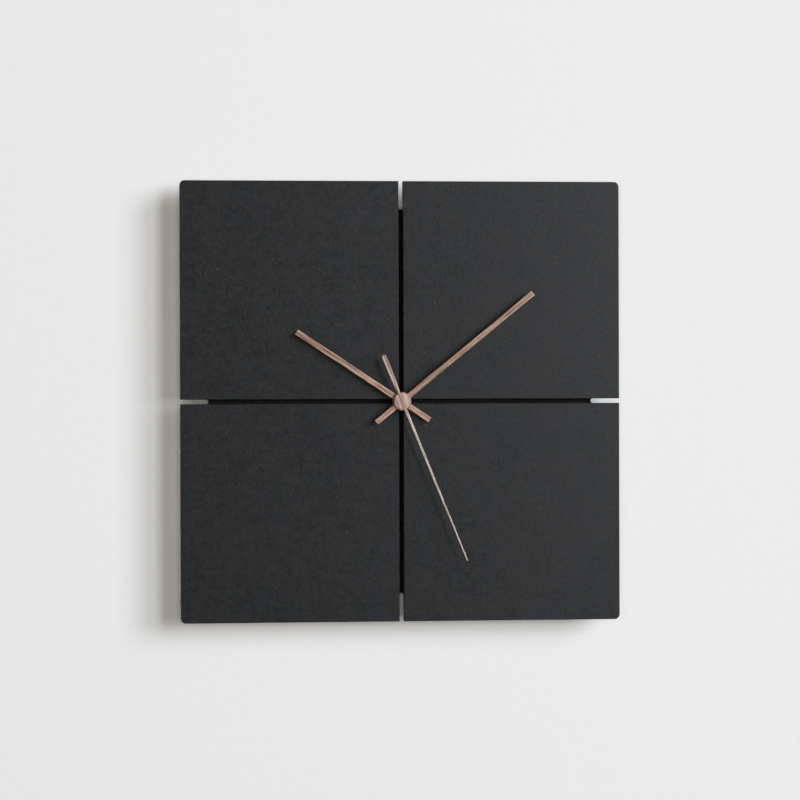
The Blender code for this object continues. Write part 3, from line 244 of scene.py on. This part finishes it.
def board_material(name):
    """Black fibreboard, dyed through: waxed cloudy face, a paler raw back and dull cut sides,
    darkened with painted shade that blackens the grooves and slots.
    """
    look = Shading(name, colour=(0.005, 0.005, 0.005), roughness=0.44, specular=0.43)
    front, back = PANEL_LOW[1], PANEL_HIGH[1]
    depth = look.axis("Y")
    clouds = look.span(look.noise(26, 5), 0.36, 0.64)
    grain = look.span(look.noise(1, 3, look.stretched((620, 620, 400)), 0.65), 0.36, 0.68)
    specks = look.span(look.noise(1, 1, look.stretched((760, 760, 470))), 0.765, 0.82)
    # Mask of every cut surface behind the face, grooves and slots included: it sets their dullness
    # and their painted shade
    dull_side_and_shade = look.span(depth, front + 0.2 * MM, front + 0.7 * MM)
    raw_back = look.span(depth, back - 0.6 * MM, back - 0.3 * MM)

    face = look.mix(clouds, (0.0028, 0.0038, 0.0044), (0.0052, 0.0052, 0.0052))
    face = look.mix(grain, face, (0.0120, 0.0128, 0.0140))
    face = look.mix(specks, face, (0.105, 0.098, 0.078))
    raw = look.mix(grain, (0.022, 0.022, 0.022), (0.036, 0.035, 0.034))
    raw = look.mix(specks, raw, (0.16, 0.15, 0.13))
    # Painted shade: the cut sides, groove floors and slot walls go nearly black
    sides = look.mix(dull_side_and_shade, face, (0.002, 0.002, 0.002))
    look.colour(look.mix(raw_back, sides, raw))

    gloss = look.span(look.noise(240, 5, roughness=0.7), 0.34, 0.66, 0.36, 0.52)
    look.roughness(look.plus_share(gloss, dull_side_and_shade, 0.55))
    look.bump(look.noise(700, 4, roughness=0.6), 0.05 * MM)
    return look.material


def copper_material(name, turn, dark, light, stain, arm_sheen):
    """Rose-copper sheet brushed along a hand; turn lays the hand's length on local Z.

    The streaks run from dark to light with a stain over them. The last argument is how far a
    painted sheen, standing in for reflected light, pales the long arm, from the hub to the tip.
    """
    look = Shading(name, light, roughness=0.42, metallic=0.75)
    lengthwise = (0, turn, 0)
    fine = look.stretched((2500, 2500, 45), lengthwise)
    streaks = look.span(look.noise(1, 3, fine, roughness=0.6), 0.36, 0.64)
    broad = look.stretched((1000, 1000, 75), lengthwise)
    blotches = look.span(look.noise(1, 3, broad, roughness=0.7), 0.48, 0.68)
    along = look.axis("Z", look.stretched((1, 1, 1), lengthwise))
    hub = (Matrix.Rotation(turn, 3, "Y") @ HANDS_AXIS).z
    # Painted sheen: the arm grows paler away from the hub, standing in for reflected light
    arm = look.span(along, hub + 4 * MM, hub + 12 * MM, 0, arm_sheen)
    copper = look.mix(blotches, look.mix(streaks, dark, light), stain)
    look.colour(look.mix(arm, copper, ARM_SHEEN_COPPER))
    look.roughness(look.span(streaks, 0, 1, 0.34, 0.48))
    look.bump(streaks, 0.02 * MM)
    return look.material


def sleeve_material(name):
    """Printed battery sleeve: graphite, with a copper band at the plus end."""
    look = Shading(name, colour=(0.05, 0.05, 0.05), roughness=0.3)
    edge = middle_of("aa_battery").x + BAND_START
    clouds = look.span(look.noise(90, 4), 0.35, 0.65)
    body = look.mix(clouds, (0.040, 0.042, 0.046), (0.052, 0.054, 0.059))
    band = look.mix(clouds, (0.46, 0.20, 0.10), (0.56, 0.27, 0.15))
    printed = look.span(look.axis("X"), edge, edge + 0.15 * MM)
    look.colour(look.mix(printed, body, band))
    look.roughness(look.span(clouds, 0, 1, 0.24, 0.32))
    look.metallic(look.span(printed, 0, 1, 0, 0.7))
    look.bump(look.noise(1500, 3), 0.005 * MM)
    return look.material


def plain_material(name, dark, light, scale, gloss, metallic, grain, grain_scale):
    """Moulded, plated or turned surface: two tones, uneven gloss and a fine grain.

    gloss is the range of the roughness and grain is its depth in millimetres.
    """
    look = Shading(name, dark, roughness=gloss[0], metallic=metallic)
    clouds = look.span(look.noise(scale, 4), 0.35, 0.65)
    look.colour(look.mix(clouds, dark, light))
    look.roughness(look.span(look.noise(scale * 3, 3), 0.3, 0.7, *gloss))
    look.bump(look.noise(grain_scale, 3), grain * MM)
    return look.material


PLAIN_LOOKS = {
    # two tones, scale of the clouds, gloss, metallic, grain and its scale
    "black_plastic": (
        (0.030, 0.030, 0.031), (0.042, 0.042, 0.043), 90, (0.38, 0.52), 0.0, 0.03, 3200),
    "white_plastic": (
        (0.56, 0.56, 0.53), (0.62, 0.62, 0.59), 120, (0.34, 0.44), 0.0, 0.01, 2500),
    "natural_plastic": (
        (0.58, 0.54, 0.42), (0.66, 0.62, 0.50), 120, (0.35, 0.45), 0.0, 0.01, 2500),
    "red_plastic": (
        (0.42, 0.035, 0.028), (0.50, 0.05, 0.035), 120, (0.35, 0.45), 0.0, 0.01, 2500),
    "black_rubber": (
        (0.026, 0.026, 0.026), (0.046, 0.045, 0.044), 160, (0.72, 0.90), 0.0, 0.03, 1800),
    "brass": (
        (0.62, 0.41, 0.15), (0.78, 0.56, 0.25), 300, (0.24, 0.36), 1.0, 0.01, 3000),
    "zinc_steel": (
        (0.24, 0.25, 0.26), (0.36, 0.37, 0.38), 160, (0.40, 0.52), 1.0, 0.01, 2600),
    "spring_steel": (
        (0.62, 0.62, 0.61), (0.74, 0.74, 0.73), 300, (0.20, 0.30), 1.0, 0.01, 3000),
    "soft_iron": (
        (0.36, 0.36, 0.37), (0.50, 0.50, 0.50), 300, (0.35, 0.50), 1.0, 0.01, 3000),
    "magnet": (
        (0.05, 0.05, 0.055), (0.08, 0.08, 0.085), 400, (0.50, 0.65), 0.3, 0.02, 2500),
    "copper_wire": (
        (0.46, 0.15, 0.05), (0.64, 0.26, 0.10), 700, (0.25, 0.35), 1.0, 0.02, 4000),
    "circuit_green": (
        (0.015, 0.11, 0.045), (0.03, 0.17, 0.075), 300, (0.30, 0.45), 0.0, 0.01, 2500),
    "black_epoxy": (
        (0.010, 0.010, 0.011), (0.018, 0.018, 0.019), 300, (0.18, 0.28), 0.0, 0.01, 2000),
    "ceramic": (
        (0.40, 0.26, 0.13), (0.50, 0.34, 0.19), 700, (0.45, 0.55), 0.0, 0.01, 3000),
}
COPPER_LOOKS = {
    # streaks dark and light, the stain over them, and how far a painted sheen pales the arm
    # The hands are one copper; the differences between their tones are painted reflection, each
    # hand set as bright as it shows under the lights
    "hour_hand": ((0.15, 0.086, 0.060), (0.76, 0.50, 0.395), (0.31, 0.155, 0.099), 0.0),
    "minute_hand": ((0.18, 0.106, 0.077), (0.63, 0.415, 0.325), (0.28, 0.150, 0.099), 0.0),
    "second_hand": ((0.20, 0.128, 0.098), (0.71, 0.52, 0.43), (0.33, 0.185, 0.127), 0.30),
}


def hand_turn(node):
    """Clockwise angle from 12 o'clock of a hand, from where the middle of its box lies."""
    away = middle_of(node) - HANDS_AXIS
    return math.atan2(away.x, away.z)


MATERIALS = {name: plain_material(name, *look) for name, look in PLAIN_LOOKS.items()}
MATERIALS["black_board"] = board_material("black_board")
MATERIALS["battery_sleeve"] = sleeve_material("battery_sleeve")
for hand, hand_look in COPPER_LOOKS.items():
    MATERIALS[hand] = copper_material("copper_" + hand, -hand_turn(hand), *hand_look)


def material_of(node):
    """The material of a node's slot; each hand has a copper of its own."""
    return MATERIALS[node if SLOT_OF[node] == "copper_metal" else SLOT_OF[node]]


def paint(piece, material):
    piece.data.materials.clear()
    piece.data.materials.append(material)


for node_name, node_object in frame["nodes"].items():
    paint(node_object, material_of(node_name))


# ---------------------------------------------------------------- mesh tools

def weld(edit):
    """Merges the vertices that lie on one another."""
    bmesh.ops.remove_doubles(edit, verts=edit.verts, dist=MERGE_DISTANCE)


def written(edit, mesh):
    """The mesh with an edit written into it; the edit is ended."""
    edit.to_mesh(mesh)
    edit.free()
    return mesh


def facing_out(mesh):
    """The mesh welded, with its faces turned outwards."""
    edit = bmesh.new()
    edit.from_mesh(mesh)
    weld(edit)
    bmesh.ops.recalc_face_normals(edit, faces=edit.faces)
    return written(edit, mesh)


def smoothed(mesh, sharp_angle):
    """The mesh with smooth shading across all but its sharp edges."""
    mesh.shade_smooth()
    mesh.set_sharp_from_angle(angle=sharp_angle)
    return mesh


def new_object(name, mesh):
    mesh.name = name
    made = bpy.data.objects.new(name, mesh)
    bpy.context.scene.collection.objects.link(made)
    return made


def finished_mesh(made):
    """The mesh of a scratch object with its modifiers applied; the object is removed."""
    graph = bpy.context.evaluated_depsgraph_get()
    mesh = bpy.data.meshes.new_from_object(made.evaluated_get(graph))
    bpy.data.objects.remove(made, do_unlink=True)
    return mesh


def add_part(name, mesh, body, slot, material=None):
    """A piece that the CAD model doesn't have, such as a moulded mark."""
    piece = new_object(name, mesh)
    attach(piece, body)
    paint(piece, material or MATERIALS[slot])
    return piece


def stand_for(node, mesh):
    """A finer piece in place of a CAD node."""
    piece = add_part("fine_" + node, mesh, BODY_OF[node], SLOT_OF[node], material_of(node))
    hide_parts(node)
    return piece


def soften(piece, width):
    """Rounds the sharp edges and keeps the flat faces flat to look at."""
    bevel = piece.modifiers.new("rounded_edges", "BEVEL")
    bevel.width = width
    bevel.segments = BEVEL_SEGMENTS
    bevel.limit_method = "ANGLE"
    bevel.angle_limit = SHARP_ANGLE
    bevel.use_clamp_overlap = True
    normals = piece.modifiers.new("flat_faces", "WEIGHTED_NORMAL")
    normals.keep_sharp = True


def refine(node, width):
    """A copy of a CAD node's mesh with whole faces, rounded edges and smooth round parts."""
    mesh = frame["nodes"][node].data.copy()
    edit = bmesh.new()
    edit.from_mesh(mesh)
    weld(edit)
    bmesh.ops.dissolve_limit(
        edit, angle_limit=FLAT_ANGLE, verts=edit.verts, edges=edit.edges)
    soften(stand_for(node, smoothed(written(edit, mesh), SHARP_ANGLE)), width)


def eased(points, radius, closed=False):
    """A line of points with each of its corners rounded."""
    points = [Vector(point) for point in points]
    rounded = []
    for index, corner in enumerate(points):
        if not closed and index in (0, len(points) - 1):
            rounded.append(corner)
            continue
        before = points[index - 1] - corner
        after = points[(index + 1) % len(points)] - corner
        start = corner + before.normalized() * min(radius, before.length / EASING_LIMIT)
        end = corner + after.normalized() * min(radius, after.length / EASING_LIMIT)
        for step in range(EASING_STEPS + 1):
            share = step / EASING_STEPS
            rounded.append(start.lerp(corner, share).lerp(corner.lerp(end, share), share))
    return rounded


def turned(profile, centre, along="Y", ring=False, steps=ROUND_STEPS):
    """A turned solid: (radius, level) points run round an axis through a centre.

    Along Y a level is a distance off the wall, along X it is a distance to the right of the centre.
    The outline of a ring goes on from its last point to its first.
    """
    if along == "Y":
        outline = [Vector((radius, -level, 0)) for radius, level in profile]
        middle = Vector((centre.x, 0, centre.z))
    else:
        outline = [Vector((level, 0, radius)) for radius, level in profile]
        middle = centre
    turns = [Matrix.Rotation(math.tau * step / steps, 3, along) for step in range(steps)]
    verts, rows, faces = [], [], []
    for point, (radius, _) in zip(outline, profile):
        places = [middle + turn @ point for turn in (turns if radius else turns[:1])]
        rows.append(range(len(verts), len(verts) + len(places)))
        verts += places
    following = rows[1:] + rows[:1] if ring else rows[1:]
    for row, after in zip(rows, following):
        for near in range(steps):
            far = near + 1
            face = (
                row[near % len(row)], row[far % len(row)],
                after[far % len(after)], after[near % len(after)],
            )
            corners = list(dict.fromkeys(face))      # a row on the axis is a single point
            if len(corners) > 2:
                faces.append(corners)
    mesh = bpy.data.meshes.new("turned")
    mesh.from_pydata(verts, [], faces)
    return smoothed(facing_out(mesh), TURNED_SHARP_ANGLE)


def block(low, high):
    """A box between two corners, for cutting with."""
    mesh = bpy.data.meshes.new("block")
    edit = bmesh.new()
    bmesh.ops.create_cube(edit, size=1)
    for vertex in edit.verts:
        for axis in range(3):
            vertex.co[axis] = high[axis] if vertex.co[axis] > 0 else low[axis]
    return written(edit, mesh)


def cut(mesh, *tools):
    """What is left of a solid when others are cut out of it."""
    body = new_object("cut", mesh)
    cutters = [new_object("tool", tool) for tool in tools]
    for cutter in cutters:
        boolean = body.modifiers.new("cut", "BOOLEAN")
        boolean.operation = "DIFFERENCE"
        boolean.object = cutter
    result = finished_mesh(body)
    for cutter in cutters:
        bpy.data.objects.remove(cutter, do_unlink=True)
    return smoothed(result, TURNED_SHARP_ANGLE)


def relief(outlines, centre, low, high):
    """A flat raised shape with eased rims between two levels; outlines are seen from the front."""
    curve = bpy.data.curves.new("relief", "CURVE")
    curve.dimensions = "2D"
    curve.fill_mode = "BOTH"
    curve.extrude = (high - low) / 2 - RELIEF_EDGE
    curve.bevel_depth = RELIEF_EDGE
    curve.bevel_resolution = 1
    curve.offset = -RELIEF_EDGE
    for outline in outlines:
        spline = curve.splines.new("POLY")
        spline.points.add(len(outline) - 1)
        spline.use_cyclic_u = True
        for point, (x, y) in zip(spline.points, outline):
            point.co = (x, y, 0, 1)
    made = bpy.data.objects.new("relief", curve)
    bpy.context.scene.collection.objects.link(made)
    mesh = finished_mesh(made)
    place = Matrix.Translation((centre.x, -(low + high) / 2, centre.z))
    mesh.transform(place @ Matrix.Rotation(math.pi / 2, 4, "X"))
    return facing_out(mesh)


def on_circle(radius, degrees, centre=(0, 0)):
    """A point on a circle, by its angle from +x, anticlockwise."""
    angle = math.radians(degrees)
    return centre[0] + radius * math.cos(angle), centre[1] + radius * math.sin(angle)


def arc(radius, start, end, steps, centre=(0, 0)):
    """Points on an arc, angles in degrees from +x, anticlockwise when end is larger."""
    return [
        on_circle(radius, start + (end - start) * step / steps, centre)
        for step in range(steps + 1)
    ]


def circle(radius):
    """Points round a whole circle."""
    return arc(radius, 0, 360 - 360 / CIRCLE_STEPS, CIRCLE_STEPS - 1)


def rounded_rectangle(half_x, half_y, radius):
    """Outline of a rectangle with rounded corners, round (0, 0)."""
    points = []
    for side, height, start in ((1, -1, -90), (1, 1, 0), (-1, 1, 90), (-1, -1, 180)):
        corner = (side * (half_x - radius), height * (half_y - radius))
        points += arc(radius, start, start + 90, CORNER_STEPS, corner)
    return points


# ---------------------------------------------------------------- finer pieces

def build_ring(node, edge):
    """Turned ring with eased edges, in the space of a washer or collet."""
    back, front = levels_of(node)
    outer, centre = half_width(node), middle_of(node)
    mesh = frame["nodes"][node].data
    bore = min(math.hypot(v.co.x - centre.x, v.co.z - centre.z) for v in mesh.vertices)
    profile = [(bore, back), (outer, back), (outer, front), (bore, front)]
    stand_for(node, turned(eased(profile, edge, closed=True), centre, ring=True))


def build_front():
    """The panel, the hands and the brass stack that they turn in."""
    refine("face_panel", 0.12 * MM)
    for node in ("hour_hand", "minute_hand", "second_hand"):
        refine(node, 0.05 * MM)
    for node in ("ring_nut", "threaded_bushing"):
        refine(node, 0.08 * MM)
    for node in ("brass_washer", "hour_collet", "minute_collet", "second_collet"):
        build_ring(node, 0.12 * MM)


def build_bumper(node):
    """Tapered rubber bumper with a well for its screw and three grooves round its waist."""
    back, front = levels_of(node)
    wide, narrow, well, bore = half_width(node), 6.0 * MM, 3.3 * MM, 1.55 * MM
    waist, foot_edge, easing = 3.0 * MM, 0.8 * MM, 0.3 * MM
    floor = front - 5.5 * MM
    groove_half, groove_depth, grooves = 0.45 * MM, 0.4 * MM, 3

    def side(level):
        return narrow + (wide - narrow) * max(level - waist, 0) / (front - waist)

    outline = [(side(front), front)]
    for number in range(grooves, 0, -1):
        level = waist + (front - waist) * number / (grooves + 1)
        outline.append((side(level), level + groove_half))
        outline.append((side(level) - groove_depth, level))
        outline.append((side(level), level - groove_half))
    outline += [
        (narrow, waist), (narrow, back + foot_edge), (narrow - foot_edge, back),
        (well, back), (well, floor), (bore, floor), (bore, front),
    ]
    stand_for(node, turned(eased(outline, easing, closed=True), middle_of(node), ring=True))


def build_screw(node, head_height, shank_radius):
    """Pan-head screw with a cross in its head, which is on the wall side."""
    top, tip = levels_of(node)
    radius, centre = half_width(node), middle_of(node)
    taper, point, point_radius, easing = 1.4 * MM, 0.3 * MM, 0.45 * shank_radius, 0.12 * MM
    profile = [(across * radius, top + down * head_height) for across, down in SCREW_HEAD]
    profile += [
        (shank_radius, top + head_height), (shank_radius, tip - taper),
        (point_radius, tip - point), (0, tip),
    ]
    mesh = turned(eased(profile, easing), centre, steps=SCREW_STEPS)
    reach, half, depth = 0.60 * radius, 0.10 * radius, 0.55 * head_height
    cross = []
    for reach_x, reach_z in ((reach, half), (half, reach)):
        low = (centre.x - reach_x, -top - depth, centre.z - reach_z)
        high = (centre.x + reach_x, -top + MM, centre.z + reach_z)
        cross.append(block(low, high))
    stand_for(node, cut(mesh, *cross))


def build_battery():
    """Round cell along X: sleeve with rolled ends, plus cap and minus plate."""
    low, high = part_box("aa_battery")
    centre = middle_of("aa_battery")
    radius = (high[2] - low[2]) / 2
    button = 1.0 * MM
    left, right = low[0] - centre.x, high[0] - centre.x - button
    roll, inset, gap, lip, sunk = 0.45 * MM, 0.55 * MM, 0.05 * MM, 0.02 * MM, 0.06 * MM
    shoulder, crimp, rim = 0.95 * radius, 0.86 * radius, 0.80 * radius
    cap_radius, plate_radius, button_radius = 0.78 * radius, 0.62 * radius, 0.37 * radius
    sleeve = [
        (rim, right - inset), (crimp, right - lip), (shoulder, right - roll / 2),
        (radius, right - 2 * roll), (radius, left + 2 * roll), (shoulder, left + roll / 2),
        (crimp, left + lip), (rim, left + inset), (0, left + inset), (0, right - inset),
    ]
    cap = [
        (0, right + button), (button_radius, right + button), (button_radius, right + 0.15 * MM),
        (cap_radius, right - 0.1 * MM), (cap_radius, right - inset + gap),
        (0, right - inset + gap),
    ]
    plate = [
        (0, left + sunk), (plate_radius, left + sunk), (cap_radius, left + 0.3 * MM),
        (cap_radius, left + inset - gap), (0, left + inset - gap),
    ]
    stand_for("aa_battery", turned(eased(sleeve, 0.25 * MM), centre, along="X"))
    for name, profile, easing in (
        ("battery_plus_cap", cap, 0.3 * MM),
        ("battery_minus_plate", plate, 0.1 * MM),
    ):
        mesh = turned(eased(profile, easing), centre, along="X")
        add_part(name, mesh, "root", "spring_steel")


def circular_arrow(radius, width):
    """Outline of an arrow that runs clockwise most of the way round, as seen from the front."""
    inner, outer = radius - width / 2, radius + width / 2
    tail, head, tip = 330, 50, 26        # degrees
    barbs_and_tip = [
        on_circle(outer + width, head), on_circle(radius, tip), on_circle(inner - width, head),
    ]
    return arc(outer, tail, head, ARROW_STEPS) + barbs_and_tip + arc(inner, head, tail, ARROW_STEPS)


def build_movement():
    """The pieces of the movement that show, and the hanger."""
    for node, width in MOVEMENT_EDGES.items():
        refine(node, width)


def build_marks():
    """Marks moulded on the movement's cover and knob."""
    low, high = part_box("back_cover")
    cover, knob = middle_of("back_cover"), middle_of("setting_knob")
    back = -high[1]
    proud, sunk, margin, ridge = 0.3 * MM, 0.05 * MM, 6.2 * MM, 0.7 * MM
    half_x, half_z = (high[0] - low[0]) / 2 - margin, (high[2] - low[2]) / 2 - margin
    ridge_outlines = [
        rounded_rectangle(half_x, half_z, 2.5 * MM),
        rounded_rectangle(half_x - ridge, half_z - ridge, 1.8 * MM),
    ]
    ring = half_width("setting_knob") + 1.2 * MM
    sign_x, sign_z = 13 * MM, low[2] + 3.2 * MM      # off the cover's middle, and height
    arm, bar = 1.5 * MM, 0.35 * MM       # half of a sign's length and of its thickness
    plus = [
        (-arm, -bar), (-bar, -bar), (-bar, -arm), (bar, -arm), (bar, -bar), (arm, -bar),
        (arm, bar), (bar, bar), (bar, arm), (-bar, arm), (-bar, bar), (-arm, bar),
    ]
    minus = [(-arm, -bar), (arm, -bar), (arm, bar), (-arm, bar)]
    marks = {
        "cover_ridge": (ridge_outlines, cover),
        "knob_ring": ([circle(ring + ridge), circle(ring)], knob),
        "plus_mark": ([plus], Vector((cover.x + sign_x, 0, sign_z))),
        "minus_mark": ([minus], Vector((cover.x - sign_x, 0, sign_z))),
    }
    for name, (outlines, centre) in marks.items():
        mesh = relief(outlines, centre, back - proud, back + sunk)
        add_part(name, mesh, "root", "black_plastic")

    knob_back = levels_of("setting_knob")[0]
    dish_floor = knob_back + 0.3 * MM
    outline = circular_arrow(2.1 * MM, 0.5 * MM)
    arrow = relief([outline], knob, knob_back + 0.08 * MM, dish_floor + sunk)
    add_part("knob_arrow", arrow, "setting", "black_plastic")


build_front()
build_movement()
build_marks()
build_battery()
for corner_name in CORNERS:
    build_bumper("wall_bumper_" + corner_name)
    build_screw("bumper_screw_" + corner_name, head_height=1.7 * MM, shank_radius=1.4 * MM)
for screw_number in range(1, COVER_SCREWS + 1):
    build_screw("cover_screw_" + str(screw_number), head_height=0.9 * MM, shank_radius=0.8 * MM)


# ---------------------------------------------------------------- backdrop, lights and camera

def build_wall():
    """A plain wall that shows only from its front, so that the clock's back can be looked at."""
    mesh = bpy.data.meshes.new("wall")
    edit = bmesh.new()
    bmesh.ops.create_grid(edit, x_segments=1, y_segments=1, size=WALL_HALF)
    wall = new_object("wall", written(edit, mesh))
    wall.rotation_euler = (math.radians(90), 0, 0)
    look = Shading("wall_paint", (WALL_GREY, WALL_GREY, WALL_GREY), roughness=0.9, specular=0.2)
    look.bump(look.noise(1, 5, look.stretched(WALL_GRAIN)), WALL_GRAIN_DEPTH)
    clear = look.nodes.new("ShaderNodeBsdfTransparent")
    side = look.nodes.new("ShaderNodeNewGeometry")
    shown = look.nodes.new("ShaderNodeMixShader")
    look.link(side.outputs["Backfacing"], shown.inputs["Fac"])
    look.link(look.shader.outputs["BSDF"], shown.inputs[1])
    look.link(clear.outputs["BSDF"], shown.inputs[2])
    look.link(shown.outputs["Shader"], look.nodes["Material Output"].inputs["Surface"])
    paint(wall, look.material)
    wall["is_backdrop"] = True


def area_light(name, place, size, power, aim=FACE_CENTRE, colour=(1, 1, 1)):
    """A rectangular light; size is its width and height."""
    data = bpy.data.lights.new(name, "AREA")
    data.shape = "RECTANGLE"
    data.size, data.size_y = size
    data.energy = power
    data.color = colour
    light = bpy.data.objects.new(name, data)
    light.location = place
    light.rotation_euler = (aim - Vector(place)).to_track_quat("-Z", "Y").to_euler()
    bpy.context.scene.collection.objects.link(light)
    return light


def window_light(name, across, above, depth, width, height, brightness, colour):
    """A far soft light, depth in front of the wall and aimed at the clock.

    across, above, width and height are slopes as seen from the clock. brightness is what this
    light alone gives to the wall beside the clock, before its own colour.
    """
    reach = depth * math.sqrt(1 + across * across + above * above)
    place = (HANDS_AXIS.x + across * depth, -depth, HANDS_AXIS.z + above * depth)
    facing = math.cos(math.atan(across))
    size = (width * depth * facing, height * depth)
    power = brightness * (math.pi * reach) ** 2 * (reach / depth) / WALL_GREY
    return area_light(name, place, size, power, colour=colour)


def only_clock(light, clock):
    """The light falls on the clock alone, and only the clock casts its shadows."""
    light.light_linking.receiver_collection = clock
    light.light_linking.blocker_collection = clock


def build_world():
    """Weak ambient light, with a pale backdrop where nothing else is seen."""
    world = bpy.data.worlds.new("studio")
    world.use_nodes = True
    nodes, links = world.node_tree.nodes, world.node_tree.links
    ambient = nodes["Background"]
    ambient.inputs["Color"].default_value = (1, 1, 1, 1)
    ambient.inputs["Strength"].default_value = AMBIENT
    backdrop = nodes.new("ShaderNodeBackground")
    backdrop.inputs["Color"].default_value = (1, 1, 1, 1)
    backdrop.inputs["Strength"].default_value = BACKDROP
    seen = nodes.new("ShaderNodeLightPath")
    shown = nodes.new("ShaderNodeMixShader")
    links.new(seen.outputs["Is Camera Ray"], shown.inputs["Fac"])
    links.new(ambient.outputs["Background"], shown.inputs[1])
    links.new(backdrop.outputs["Background"], shown.inputs[2])
    links.new(shown.outputs["Shader"], nodes["World Output"].inputs["Surface"])
    bpy.context.scene.world = world


def build_camera():
    """The photograph's camera: a little to the clock's left and all but level with it."""
    data = bpy.data.cameras.new("camera")
    data.lens = CAMERA_LENS
    camera = bpy.data.objects.new("camera", data)
    back = Vector((
        -math.sin(CAMERA_YAW) * math.cos(CAMERA_PITCH),
        -math.cos(CAMERA_YAW) * math.cos(CAMERA_PITCH),
        math.sin(CAMERA_PITCH),
    ))
    camera.location = FACE_CENTRE + CAMERA_AIM + back * CAMERA_DISTANCE
    turn = (-back).to_track_quat("-Z", "Y").to_matrix().to_4x4()
    camera.rotation_euler = (turn @ Matrix.Rotation(CAMERA_ROLL, 4, "Z")).to_euler()
    bpy.context.scene.collection.objects.link(camera)
    bpy.context.scene.camera = camera


def build_front_lights():
    """The window's light, a weak one round the camera and the room's sheen on the board."""
    window_light(
        "window_low", across=0.54, above=0.20, depth=8, width=0.30, height=0.60,
        brightness=0.278, colour=WINDOW_COLOUR)
    window_light(
        "window_high", across=1.15, above=0.43, depth=8, width=0.80, height=0.74,
        brightness=0.275, colour=WINDOW_COLOUR)
    fill = window_light(
        "front_fill", across=-0.07, above=0.02, depth=4, width=0.38, height=0.30,
        brightness=0.27, colour=FILL_COLOUR)
    fill.visible_glossy = False
    room = area_light("room_left", place=(-3.0, -3.0, -0.9), size=(4.5, 4.5), power=17)
    room.visible_diffuse = False


def build_back_lights():
    """Lights behind the wall that show the clock's back and leave the wall alone."""
    clock = bpy.data.collections.new("clock_pieces")
    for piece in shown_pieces():
        clock.objects.link(piece)
    for name, place, side, power in BACK_LIGHTS:
        only_clock(area_light(name, place, (side, side), power, BACK_CENTRE), clock)


build_wall()
build_world()
build_front_lights()
build_back_lights()
build_camera()
bpy.context.scene.view_settings.view_transform = "Standard"
